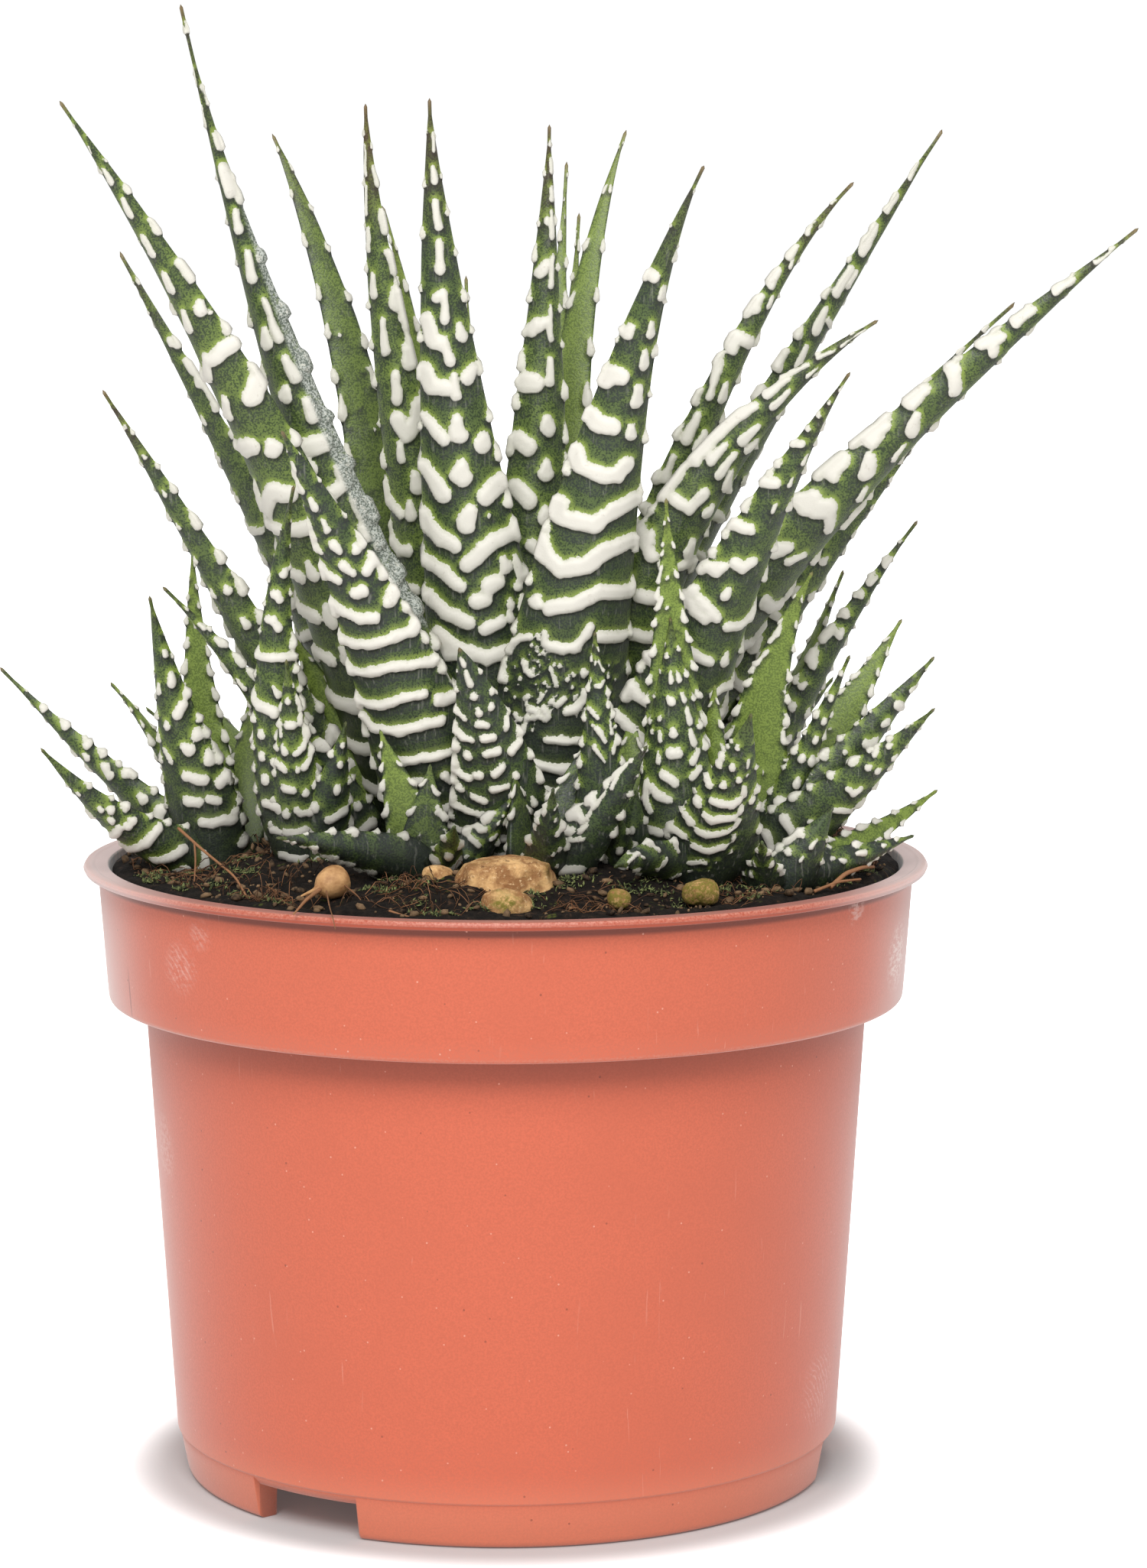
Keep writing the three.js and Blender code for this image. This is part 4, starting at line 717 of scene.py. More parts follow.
class Shell:
    """Points and faces of one or more closed surfaces, gathered before they become a mesh."""

    def __init__(self):
        self.points = []
        self.corners = []
        self.sizes = []
        self.maps = []
        self.values = {}
        self.count = 0

    def add(self, points, quads, triangles, quad_map, triangle_map, values):
        """Adds faces that index into points, a map place for each corner and values for each point."""
        for faces, places in ((quads, quad_map), (triangles, triangle_map)):
            if len(faces):
                self.corners.append((np.asarray(faces) + self.count).ravel())
                self.sizes.append(np.full(len(faces), faces.shape[1]))
                self.maps.append(places.reshape(-1, 2))
        self.points.append(points)
        for key, value in values.items():
            self.values.setdefault(key, []).append(np.broadcast_to(value, len(points)))
        self.count += len(points)

    def add_tube(self, grid, unrolled, values, first=None, last=None):
        """Adds a grid of rows that close on themselves, with both ends closed by a fan to a point.

        unrolled has one column more than grid, for the map on both sides of the seam.
        """
        rows, columns = grid.shape[:2]
        first = grid[0].mean(axis=0) if first is None else np.asarray(first, dtype=float)
        last = grid[-1].mean(axis=0) if last is None else np.asarray(last, dtype=float)
        row, column = np.meshgrid(np.arange(rows - 1), np.arange(columns), indexing="ij")
        row, column = row.ravel(), column.ravel()
        after = (column + 1) % columns
        quads = np.stack([
            row * columns + column, row * columns + after,
            (row + 1) * columns + after, (row + 1) * columns + column], axis=1)
        quad_map = np.stack([
            unrolled[row, column], unrolled[row, column + 1],
            unrolled[row + 1, column + 1], unrolled[row + 1, column]], axis=1)
        around = np.arange(columns)
        beside = (around + 1) % columns
        end = (rows - 1) * columns
        pole = np.full(columns, rows * columns)
        triangles = np.concatenate([
            np.stack([pole, beside, around], axis=1),
            np.stack([end + around, end + beside, pole + 1], axis=1)])
        low, high = unrolled[0], unrolled[-1]
        low_pole = np.broadcast_to(low.mean(axis=0), (columns, 2))
        high_pole = np.broadcast_to(high.mean(axis=0), (columns, 2))
        triangle_map = np.concatenate([
            np.stack([low_pole, low[around + 1], low[around]], axis=1),
            np.stack([high[around], high[around + 1], high_pole], axis=1)])
        points = np.concatenate([grid.reshape(-1, 3), [first, last]])
        spread = {
            key: np.concatenate([value.ravel(), [value[0].mean(), value[-1].mean()]])
            for key, value in values.items()
        }
        self.add(points, quads, triangles, quad_map, triangle_map, spread)

    def add_copies(self, points, triangles, values):
        """Adds many small closed shapes with the same faces: points is shapes x corners x 3."""
        shapes, corners = points.shape[:2]
        faces = triangles[None] + (np.arange(shapes) * corners)[:, None, None]
        faces = faces.reshape(-1, 3)
        flat = points.reshape(-1, 3)
        spread = {key: np.repeat(value, corners) for key, value in values.items()}
        self.add(flat, np.empty((0, 4), int), faces, None, flat[faces][..., :2], spread)

    def finish(self, name, material, replaces=()):
        """Makes the object, in metres, with its faces turned outwards."""
        points = np.concatenate(self.points)
        corners = np.concatenate(self.corners)
        sizes = np.concatenate(self.sizes)
        places = np.concatenate(self.maps)
        starts = np.concatenate([[0], np.cumsum(sizes)[:-1]])
        a, b, c = (points[corners[starts + i]] for i in range(3))
        volume = np.einsum("ij,ij->i", a, np.cross(b, c)).sum()
        quads = sizes == 4
        d = points[corners[starts[quads] + 3]]
        volume += np.einsum("ij,ij->i", a[quads], np.cross(c[quads], d)).sum()
        if volume < 0:
            start = starts.repeat(sizes)
            backwards = start + sizes.repeat(sizes) - 1 - (np.arange(len(corners)) - start)
            corners, places = corners[backwards], places[backwards]
        mesh = bpy.data.meshes.new(name)
        mesh.vertices.add(len(points))
        mesh.vertices.foreach_set("co", ((points + AXIS) * MM).astype(np.float32).ravel())
        mesh.loops.add(len(corners))
        mesh.loops.foreach_set("vertex_index", corners.astype(np.int32))
        mesh.polygons.add(len(sizes))
        mesh.polygons.foreach_set("loop_start", starts.astype(np.int32))
        mesh.polygons.foreach_set("use_smooth", np.ones(len(sizes), dtype=bool))
        layer = mesh.uv_layers.new(name="skin")
        layer.uv.foreach_set("vector", places.astype(np.float32).ravel())
        for key, value in self.values.items():
            attribute = mesh.attributes.new(key, "FLOAT", "POINT")
            attribute.data.foreach_set("value", np.concatenate(value).astype(np.float32))
        mesh.materials.append(material)
        mesh.update(calc_edges=True)
        if mesh.validate():
            raise RuntimeError(f"{name}: the mesh had faulty faces")
        piece = bpy.data.objects.new(name, mesh)
        bpy.context.scene.collection.objects.link(piece)
        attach(piece, "root")
        if replaces:
            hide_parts(*replaces)
        return piece


class Graph:
    """Adds nodes to a node tree, so that a material reads as a list of steps."""

    def __init__(self, tree):
        self.tree = tree

    def add(self, kind, inputs=(), **settings):
        """A node of a kind, with its settings made and its inputs linked or set."""
        node = self.tree.nodes.new(kind)
        for key, value in settings.items():
            setattr(node, key, value)
        for key, value in dict(inputs).items():
            self.feed(node.inputs[key], value)
        return node

    def feed(self, socket, value):
        """Links another socket to this one, or sets its value."""
        if isinstance(value, bpy.types.NodeSocket):
            self.tree.links.new(value, socket)
        elif socket.type == "RGBA" and len(value) == 3:
            socket.default_value = (*value, 1)
        else:
            socket.default_value = value

    def math(self, operation, first, second=0.0, third=0.0, clamp=False):
        """One step of arithmetic."""
        inputs = {0: first, 1: second, 2: third}
        return self.add("ShaderNodeMath", inputs, operation=operation, use_clamp=clamp).outputs[0]

    def times(self, product, *factors):
        """The product of some values."""
        for factor in factors:
            product = self.math("MULTIPLY", product, factor)
        return product

    def step(self, value, low, high):
        """Smooth step from 0 at low to 1 at high, where low may be the greater."""
        inputs = {"Value": value, "From Min": low, "From Max": high, "To Min": 0.0, "To Max": 1.0}
        return self.add("ShaderNodeMapRange", inputs, interpolation_type="SMOOTHSTEP").outputs[0]

    def blend(self, factor, first, second, mode="MIX"):
        """Two colours mixed by a factor."""
        node = self.add("ShaderNodeMix", data_type="RGBA", blend_type=mode)
        sockets = [socket for socket in node.inputs if socket.enabled]
        for socket, value in zip(sockets, (factor, first, second)):
            self.feed(socket, value)
        return next(socket for socket in node.outputs if socket.enabled)

    def tint(self, colour, other, *factors):
        """A colour drawn towards another one by the product of some factors."""
        return self.blend(self.times(*factors), colour, other)

    def places(self, stretch=(1, 1, 1)):
        """Object coordinates in millimetres."""
        coordinate = self.add("ShaderNodeTexCoord").outputs["Object"]
        factor = tuple(value / MM for value in stretch)
        inputs = {0: coordinate, 1: factor}
        return self.add("ShaderNodeVectorMath", inputs, operation="MULTIPLY").outputs[0]

    def noise(self, place, size, detail=2.0, roughness=0.5, distortion=0.0):
        """Noise from 0 to 1 whose lumps have about the given size."""
        inputs = {
            "Vector": place, "Scale": 1 / size, "Detail": detail, "Roughness": roughness,
            "Distortion": distortion,
        }
        return self.add("ShaderNodeTexNoise", inputs).outputs["Fac"]

    def cells(self, place, size, feature="F1"):
        """Distance to the nearest of scattered points, in cells of the given size."""
        inputs = {"Vector": place, "Scale": 1 / size}
        return self.add("ShaderNodeTexVoronoi", inputs, feature=feature).outputs["Distance"]

    def distance(self, place, point):
        """How far a place lies from a point."""
        return self.add("ShaderNodeVectorMath", {0: place, 1: point}, operation="DISTANCE").outputs["Value"]

    def attribute(self, name):
        """A value that the mesh carries."""
        return self.add("ShaderNodeAttribute", attribute_name=name).outputs["Fac"]


def new_material(name):
    """An empty material with a Principled shader, and the graph that builds it."""
    material = bpy.data.materials.new(name)
    material.use_nodes = True
    material.node_tree.nodes.clear()
    graph = Graph(material.node_tree)
    shader = graph.add("ShaderNodeBsdfPrincipled")
    output = graph.add("ShaderNodeOutputMaterial")
    graph.tree.links.new(shader.outputs["BSDF"], output.inputs["Surface"])
    return material, graph, shader


def finish_skin(graph, shader, colour, roughness, specular, bump):
    """Feeds a colour, a roughness and a bump of (strength, depth in mm, height) to a shader."""
    strength, depth, height = bump
    graph.feed(shader.inputs["Base Color"], colour)
    graph.feed(shader.inputs["Roughness"], roughness)
    shader.inputs["Specular IOR Level"].default_value = specular
    node = graph.add("ShaderNodeBump", {"Strength": strength, "Distance": depth * MM, "Height": height})
    graph.feed(shader.inputs["Normal"], node.outputs["Normal"])


def new_group(name, inputs, outputs):
    """An empty node group with named sockets: its graph, its input sockets and its output node."""
    tree = bpy.data.node_groups.new(name, "ShaderNodeTree")
    for socket, kind in inputs:
        tree.interface.new_socket(socket, in_out="INPUT", socket_type=kind)
    for socket, kind in outputs:
        tree.interface.new_socket(socket, in_out="OUTPUT", socket_type=kind)
    graph = Graph(tree)
    return graph, graph.add("NodeGroupInput").outputs, graph.add("NodeGroupOutput")


def zebra_skin_group():
    """Skin of a leaf: marbled green, slate under each white mark with a painted shadow along its lower edge,
    frayed above it, and painted shade near the foot and low in the plant.
    """
    if "zebra skin" in bpy.data.node_groups:
        return bpy.data.node_groups["zebra skin"]
    colours = ("Slate", "Green", "Bright", "Pearl", "Tan", "Blush")
    graph, given, out = new_group(
        "zebra skin", [(colour, "NodeSocketColor") for colour in colours] + [("Foot", "NodeSocketFloat")],
        [("Color", "NodeSocketColor"), ("Roughness", "NodeSocketFloat"), ("Height", "NodeSocketFloat")])
    mark, rise = graph.attribute("mark"), graph.attribute("rise")
    inner, along = graph.attribute("inner"), graph.attribute("along")
    tone, blush, cork = graph.attribute("tone"), graph.attribute("blush"), graph.attribute("cork")
    healthy = graph.math("ADD", tone, 1.0, clamp=True)
    inner = graph.times(inner, healthy)
    place = graph.places()
    ragged = graph.noise(place, 0.45, 2, 0.6)
    grain = graph.noise(place, 0.24, 1, 0.6)
    cloud = graph.noise(place, 2.2, 3, 0.6)
    patch = graph.noise(place, 11, 2, 0.5)

    above = graph.step(rise, -0.1, 0.5)
    below = graph.step(rise, 0.25, -0.5)
    fray = graph.math("MULTIPLY_ADD", above, 0.5, 0.1)
    torn = graph.math("MULTIPLY_ADD", graph.math("SUBTRACT", ragged, 0.5), fray, mark)
    pearl = graph.step(torn, 0.05, -0.06)
    fringe = graph.times(graph.step(mark, 0.9, 0.0), above, healthy)

    lively = graph.math("MULTIPLY_ADD", tone, 0.6, graph.math("MULTIPLY_ADD", cloud, 0.6, -0.3), clamp=True)
    lively = graph.math("MAXIMUM", lively, graph.times(inner, 0.75))
    deep = graph.math("MULTIPLY_ADD", below, 0.75, graph.math("MULTIPLY_ADD", patch, 0.5, -0.1), clamp=True)
    deep = graph.times(deep, graph.math("SUBTRACT", 1.1, tone))
    deep = graph.math("MULTIPLY", deep, graph.math("SUBTRACT", 1.0, inner), clamp=True)
    dark = graph.blend(lively, given["Green"], given["Bright"])
    dark = graph.blend(graph.math("MULTIPLY_ADD", inner, -0.6, 1.0), dark, (0.36, 0.415, 0.39), "MULTIPLY")
    dark = graph.blend(deep, dark, given["Slate"])
    light = graph.blend(graph.math("MAXIMUM", lively, fringe), given["Green"], given["Bright"])
    light = graph.blend(1.0, light, (1.3, 1.26, 1.3), "MULTIPLY")
    light = graph.tint(light, given["Slate"], deep, 0.6)
    lean = graph.math("MULTIPLY_ADD", fringe, 0.13, graph.math("MULTIPLY_ADD", above, 0.05, grain))
    green = graph.blend(graph.step(lean, 0.43, 0.6), dark, light)
    # Painted shade: outer faces darken towards the foot, where little light reaches; inner faces turn
    # brighter green there, their own colour
    foot = graph.times(graph.step(along, 0.5, 0.0), given["Foot"])
    green = graph.tint(green, (0.01, 0.014, 0.012), foot, graph.math("SUBTRACT", 1.0, inner))
    green = graph.tint(green, given["Bright"], foot, inner, 0.3)
    # Painted shadow: a dark line just under the lower edge of each white mark
    green = graph.tint(green, (0.012, 0.014, 0.012), graph.step(mark, 0.8, 0.0), below, 0.7)
    streak = graph.noise(graph.places((1.3, 1.3, 0.12)), 0.5, 2, 0.5)
    green = graph.tint(green, given["Pearl"], graph.step(streak, 0.56, 0.72), deep, 0.14)
    green = graph.tint(green, given["Blush"], graph.step(along, 0.8, 1.0), blush)
    green = graph.tint(green, given["Tan"], graph.step(along, 0.975, 1.0), 0.8)

    pit = graph.step(graph.noise(place, 0.8, 2, 0.6), 0.62, 0.8)
    white = graph.tint(given["Pearl"], given["Tan"], pit, 0.22)
    core = graph.step(torn, -0.55, -0.05)
    white = graph.tint(white, given["Bright"], core, graph.math("SUBTRACT", 1.0, below), 0.16)
    colour = graph.blend(pearl, green, white)
    crust = graph.times(cork, graph.step(ragged, 0.2, 0.5))
    crumbs = graph.blend(graph.step(grain, 0.42, 0.58), linear(104, 112, 102), linear(184, 188, 180))
    colour = graph.blend(crust, colour, crumbs)
    level = graph.add("ShaderNodeSeparateXYZ", {0: place}).outputs["Z"]
    away = graph.distance(graph.places((1, 1, 0)), (AXIS[0], AXIS[1], 0))
    # Painted shade: everything low in the plant and near its axis darkens, marks too, where the leaves shade
    # each other
    low_painted_shade = graph.step(level, 93, 79)
    colour = graph.tint(colour, (0.012, 0.015, 0.012), low_painted_shade, graph.step(away, 46, 32), 0.5)
    graph.feed(out.inputs["Color"], colour)
    matt = graph.math("MULTIPLY_ADD", pearl, 0.1, graph.math("MULTIPLY_ADD", grain, 0.25, 0.34))
    graph.feed(out.inputs["Roughness"], matt)
    plateau = graph.step(torn, 0.07, -0.14)
    rough = graph.math("MULTIPLY_ADD", grain, graph.math("MULTIPLY_ADD", pearl, -0.3, 0.45), plateau)
    rough = graph.math("MULTIPLY_ADD", graph.times(crust, grain), 1.4, rough)
    graph.feed(out.inputs["Height"], graph.math("MULTIPLY_ADD", cloud, 0.25, rough))
    return graph.tree


def leaf_material(settings, name, specular, foot):
    """Leaf skin with its own gloss and its own strength of painted shade near the foot."""
    if name in bpy.data.materials:
        return bpy.data.materials[name]
    material, graph, shader = new_material(name)
    skin = graph.add("ShaderNodeGroup", node_tree=zebra_skin_group())
    for colour in ("slate", "green", "bright", "pearl", "tan", "blush"):
        graph.feed(skin.inputs[colour.capitalize()], tuple(getattr(settings, colour)))
    skin.inputs["Foot"].default_value = foot
    colour, roughness, height = (skin.outputs[key] for key in ("Color", "Roughness", "Height"))
    finish_skin(graph, shader, colour, roughness, specular, (0.55, 0.18, height))
    return material


# Way across the outer face, along its bulge, as a share of the half width, and the depths of the outer and
# the inner face as shares of the thickness
ARC = 1.12
OUTER_DEPTH, INNER_DEPTH = 0.82, 0.18


def centre_line(shape, step):
    """Quadratic Bezier from base past bend to tip, in even steps of its length: points and tangents."""
    base, bend, tip = (np.array(shape[key], dtype=float) for key in ("base", "bend", "tip"))
    share = np.linspace(0, 1, 400)[:, None]
    path = (1 - share) ** 2 * base + 2 * share * (1 - share) * bend + share ** 2 * tip
    lengths = np.concatenate([[0], np.cumsum(np.linalg.norm(np.diff(path, axis=0), axis=1))])
    rows = int(lengths[-1] / step) + 2
    even = np.interp(np.linspace(0, lengths[-1], rows), lengths, share[:, 0])[:, None]
    points = (1 - even) ** 2 * base + 2 * even * (1 - even) * bend + even ** 2 * tip
    tangents = unit(2 * (1 - even) * (bend - base) + 2 * even * (tip - bend))
    return points, tangents, lengths[-1]


def row_capsules(habit, up, kind, fade, half_at, random):
    """Strokes and drops of one row, as capsules from (up, across, radius) to (up, across, radius)."""
    capsules = []
    for stroke in ROW_KINDS[kind]:
        ends = []
        for share, lift in stroke:
            share = share + random.normal(0, 0.035)
            arm = habit["arms"][0] if share < 0 else habit["arms"][1]
            place = up + lift * arm * fade + random.normal(0, 0.18)
            radius = habit["weight"] * random.uniform(0.85, 1.15) * fade
            ends.append((place, ARC * share * half_at(place), radius))
        if len(ends) == 1:
            place, across, radius = ends[0]
            reach = radius * random.uniform(0.9, 1.6)
            capsules.append((place, across, 1.1 * radius, place + reach, across * 0.97, radius * 0.6))
        for start, stop in zip(ends, ends[1:]):
            capsules.append((*start, *stop))
    return capsules


def dot_row_capsules(habit, up, fade, half_at, random, odd):
    """A row of round dots, as many as the leaf is wide, with some neighbours run together."""
    half = half_at(up)
    count = max(1, round(2.3 * half / 2.1) - odd)
    shares = (np.arange(count) + 0.5) / count * 2 - 1
    places = up + habit["arms"][0] * fade * shares ** 2 + random.normal(0, 0.2, count)
    across = 1.05 * half * shares + random.normal(0, 0.14, count)
    radii = habit["weight"] * fade * random.uniform(0.8, 1.25, count)
    joined = np.append(random.uniform(0, 1, count - 1) < (0.45 if up < 9 else 0.12), False)
    capsules = []
    for i in range(count):
        on = i + 1 if joined[i] else i
        capsules.append((places[i], across[i], radii[i], places[on] + 0.25, across[on], 0.9 * radii[on]))
    return capsules


def stroke_capsules(habit, length, half_at, random, young):
    """Every white mark of a leaf as capsules: the strokes that are listed, the rows and the margins."""
    capsules = []
    for narrow, *places in habit["strokes"]:
        radius = narrow + habit["swell"] * min(1, (narrow / 0.5) ** 2)
        ups, shares = places[::2], places[1::2]
        points = [(up, ARC * (share / 100) * half_at(up)) for up, share in zip(ups, shares)]
        if len(points) == 1:
            up, across = points[0]
            points = [(up - 0.15 * radius, across), (up + 0.35 * radius, across)]
        upright = abs(points[-1][0] - points[0][0]) > 1.2 * abs(points[-1][1] - points[0][1])
        slim = 0.66 if len(points) == 2 and upright else 0.95
        for start, stop in zip(points, points[1:]):
            capsules.append((*start, radius, *stop, radius * slim))
    stop = min((places[1] for places in habit["strokes"]), default=length + 1) - 1.6
    up = habit["first"]
    turn = 0
    while up < min(stop, length - 2.5):
        share = up / length
        fade = min(1, 1.5 * (1 - share) + 0.25)
        if young:
            capsules += dot_row_capsules(habit, up, fade, half_at, random, turn % 2)
        else:
            if share < habit["whole"]:
                kind = random.choice(["band", "band", "left", "right"])
            elif share < habit["broken"]:
                kind = random.choice(["broken", "left", "right", "hooks"])
            else:
                kind = DROP_KINDS[(turn + int(random.integers(2))) % len(DROP_KINDS)]
            capsules += row_capsules(habit, up, kind, fade, half_at, random)
        turn += 1
        up += habit["pitch"] * random.uniform(0.88, 1.12)
    for side in (-1, 1):
        up = 4 + random.uniform(0, habit["margin"])
        while up < length - 2:
            fade = min(1, 1.8 * (1 - up / length) + 0.3)
            radius = random.uniform(0.62, 0.8) * fade * (0.75 if young else 1)
            across = side * (ARC * half_at(up) + random.uniform(-0.1, 0.3))
            reach = random.uniform(1.2, 2.6) * fade * (0.5 if young else 1)
            capsules.append((up, across, radius, up + reach, across, radius * 0.5))
            up += habit["margin"] * random.uniform(0.8, 1.25)
    if habit["scatter"]:
        low, high, count = habit["scatter"]
        for up in random.uniform(low, high, count):
            across = random.uniform(-0.95, 0.95) * half_at(up)
            radius = random.uniform(0.1, 0.22)
            capsules.append((up, across, radius, up + random.uniform(0, 0.3), across, radius * 0.8))
    return capsules


MARK_REACH = 3.0
MARK_BLEND = 0.1


def mark_distance(up, across, capsules, step):
    """Distance to the nearest mark, negative inside it, with neighbours melted together.

    Each mark adds exp(-distance / blend), and the logarithm of the sum gives the distance back.
    """
    total = np.full(up.shape, math.exp(-MARK_REACH / MARK_BLEND))
    for u0, c0, r0, u1, c1, r1 in capsules:
        low = max(0, int((min(u0, u1) - MARK_REACH) / step))
        high = int((max(u0, u1) + MARK_REACH) / step) + 2
        u, c = up[low:high], across[low:high]
        run_u, run_c = u1 - u0, c1 - c0
        squared = max(run_u ** 2 + run_c ** 2, 1e-9)
        share = np.clip(((u - u0) * run_u + (c - c0) * run_c) / squared, 0, 1)
        away = np.hypot(u - u0 - share * run_u, c - c0 - share * run_c) - (r0 + share * (r1 - r0))
        total[low:high] += np.exp(-np.clip(away, -2, MARK_REACH) / MARK_BLEND)
    return -MARK_BLEND * np.log(total)


def add_leaf(shell, shape, habit, seed, step, columns, relief, young=False):
    """Adds one leaf: a tube along its centre line with a keeled outer face and a nearly flat inner one.

    Across the outer face the depth follows (1 - a^2)^0.85 and across the inner one 1 - a^2, where a is the
    share of the half width. White marks stand proud of both.
    """
    random = np.random.default_rng(seed)
    middle, tangent, length = centre_line(shape, step)
    rows = len(middle)
    spacing = length / (rows - 1)
    along = np.linspace(0, 1, rows)
    left = 1 - along
    sides = 1.3 * left ** shape.get("taper", 1) - 0.3 * left ** 6
    sides = sides * (0.72 + 0.28 * smoothstep(along, 0, 0.2))
    half = np.maximum(0.45, shape["width"] * sides) / 2
    thick = np.maximum(0.45, (0.34 * shape["width"] + 0.8) * left ** 0.8)
    face = math.radians(shape["face"])
    outward = np.array([math.sin(face), -math.cos(face), 0.0])
    normal = unit(outward - (tangent @ outward)[:, None] * tangent)
    side = np.cross(tangent, normal)

    outer_count, inner_count = columns
    spread = 0.35 * math.pi
    outer = np.sin(np.linspace(-spread, spread, outer_count)) / math.sin(spread)
    inner = np.sin(np.linspace(spread, -spread, inner_count + 2)[1:-1]) / math.sin(spread)
    share = np.concatenate([outer, inner])
    depth = np.concatenate([
        OUTER_DEPTH * (1 - outer ** 2).clip(0) ** 0.85, -INNER_DEPTH * (1 - inner ** 2)])
    is_inner = np.concatenate([np.zeros(outer_count), smoothstep(1 - np.abs(inner), 0, 0.25)])
    turned = np.concatenate([ARC * outer, np.sign(inner + 1e-9) * (2 * ARC - ARC * np.abs(inner))])
    grid = middle[:, None] + (half[:, None] * share)[..., None] * side[:, None]
    grid = grid + (thick[:, None] * depth)[..., None] * normal[:, None]
    across = half[:, None] * turned
    up = np.broadcast_to((along * length)[:, None], across.shape)

    def half_at(place):
        return float(np.interp(place, along * length, half))

    capsules = stroke_capsules(habit, length, half_at, random, young)
    flat = np.stack([up, across, np.full(up.shape, 7.3 * seed)], axis=-1)
    warp_up = up + 0.24 * layered_noise(flat, 1.7, 2)
    warp_across = across + 0.24 * layered_noise(flat + 50, 1.7, 2)
    mark = mark_distance(warp_up, warp_across, capsules, spacing)
    mark = mark + (0.06 if young else 0.16) * layered_noise(flat + 90, 1.2, 2)
    rising = np.gradient(mark, spacing, axis=0)

    lengthwise = np.gradient(grid, axis=0)
    crosswise = np.roll(grid, -1, axis=1) - np.roll(grid, 1, axis=1)
    away = unit(np.cross(crosswise, lengthwise))
    away = away * np.sign(np.sum(away * (grid - middle[:, None]), axis=-1, keepdims=True).mean())
    slope = 0.28 + 0.5 * np.clip(rising, 0, 1)
    height = relief * smoothstep(-mark, -0.06, slope) * np.minimum(1, 0.35 + 1.8 * left)[:, None]
    height = height * (1 + 0.7 * smoothstep(np.abs(share), 0.86, 1))
    waves = 0.2 * layered_noise(grid, 9, 2) * np.minimum(1, 4 * left)[:, None]
    grid = grid + (height + waves)[..., None] * away

    columns_map = np.concatenate([turned, [2 * ARC * math.copysign(1, turned[-1])]])
    unrolled = np.stack([half[:, None] * columns_map, np.broadcast_to(
        (along * length)[:, None], (rows, len(columns_map)))], axis=-1)
    if habit["cork"]:
        width = np.interp(along, (0.25, 0.3, 0.45, 0.6, 0.72, 0.85), (-1, 1.3, 1.5, 1.0, 0.4, -0.5))[:, None]
        edge = across - ARC * half[:, None]
        strip = smoothstep(edge + width, -0.25, 0.25) * smoothstep(edge, 1.3, 0.7)
        shell.values["cork"] = [np.append(strip[:-1].ravel(), [0, 0])]
    values = {
        "mark": mark,
        "rise": rising,
        "inner": np.broadcast_to(is_inner, mark.shape),
        "along": np.broadcast_to(along[:, None], mark.shape),
        "tone": np.full(mark.shape, habit["tone"]),
        "blush": np.full(mark.shape, habit["blush"]),
    }
    shell.add_tube(grid[:-1], unrolled[:-1], {key: value[:-1] for key, value in values.items()},
                   first=middle[0], last=middle[-1])


def plain_skin(shape, tone):
    """Values of a leaf's skin without marks, the same all over a grid."""
    values = {"mark": MARK_REACH, "rise": 0, "inner": 0, "along": 0.1, "tone": tone, "blush": 0}
    return {key: np.full(shape, float(value)) for key, value in values.items()}


def young_shapes(stem, leaves):
    """The leaves of a young rosette start round its stem and lift away from it."""
    x, y, start = stem
    shapes = []
    for leaf in leaves:
        tip = np.array(leaf["tip"], dtype=float)
        reach = math.hypot(tip[0] - x, tip[1] - y) or 1
        out_x, out_y = (tip[0] - x) / reach, (tip[1] - y) / reach
        base = np.array([x + YOUNG_FOOT * out_x, y + YOUNG_FOOT * out_y, start])
        bend = (base + tip) / 2 + np.array([leaf.get("sway", 0), 0, leaf.get("lift", 0)])
        face = leaf.get("face", math.degrees(math.atan2(out_x, -out_y)))
        shapes.append(dict(
            base=base, bend=bend, tip=tip, width=leaf["width"], taper=leaf.get("taper", 1), face=face))
    return shapes


def full_turn(count):
    """Even angles over a whole turn."""
    return np.linspace(0, 2 * math.pi, count, endpoint=False)


def lathe_grid(profile, angles, x=0.0, y=0.0):
    """A profile of [radius, height] rows turned about an upright axis: rows x angles x 3."""
    radius, height = np.asarray(profile, dtype=float).T
    across = radius[:, None] * np.sin(angles)
    depth = -radius[:, None] * np.cos(angles)
    level = np.broadcast_to(height[:, None], across.shape)
    return np.stack([across + x, depth + y, level], axis=-1)


def rounded(corners, pieces=4):
    """A profile of [radius, height, rounding] corners with each corner eased by a small curve."""
    points = [np.array(corners[0][:2], dtype=float)]
    for before, corner, after in zip(corners, corners[1:], corners[2:]):
        here = np.array(corner[:2], dtype=float)
        back = np.array(before[:2], dtype=float) - here
        on = np.array(after[:2], dtype=float) - here
        if not corner[2]:
            points.append(here)
            continue
        reach_back = min(corner[2], 0.45 * np.linalg.norm(back))
        reach_on = min(corner[2], 0.45 * np.linalg.norm(on))
        start = here + reach_back * back / np.linalg.norm(back)
        stop = here + reach_on * on / np.linalg.norm(on)
        for share in np.linspace(0, 1, pieces + 1):
            points.append((1 - share) ** 2 * start + 2 * share * (1 - share) * here + share ** 2 * stop)
    points.append(np.array(corners[-1][:2], dtype=float))
    return np.array(points)


def inner_radius(height, wall):
    """Inside radius of the pot at a height, in the collar and below it."""
    if height > COLLAR_FOOT_HEIGHT + wall:
        share = (height - COLLAR_FOOT_HEIGHT) / (POT_HEIGHT - COLLAR_FOOT_HEIGHT)
        return COLLAR_FOOT_RADIUS + share * (COLLAR_TOP_RADIUS - COLLAR_FOOT_RADIUS) - wall
    share = (height - FOOT_HEIGHT) / (COLLAR_FOOT_HEIGHT - FOOT_HEIGHT)
    return BODY_FOOT_RADIUS + share * (BODY_TOP_RADIUS - BODY_FOOT_RADIUS) - wall


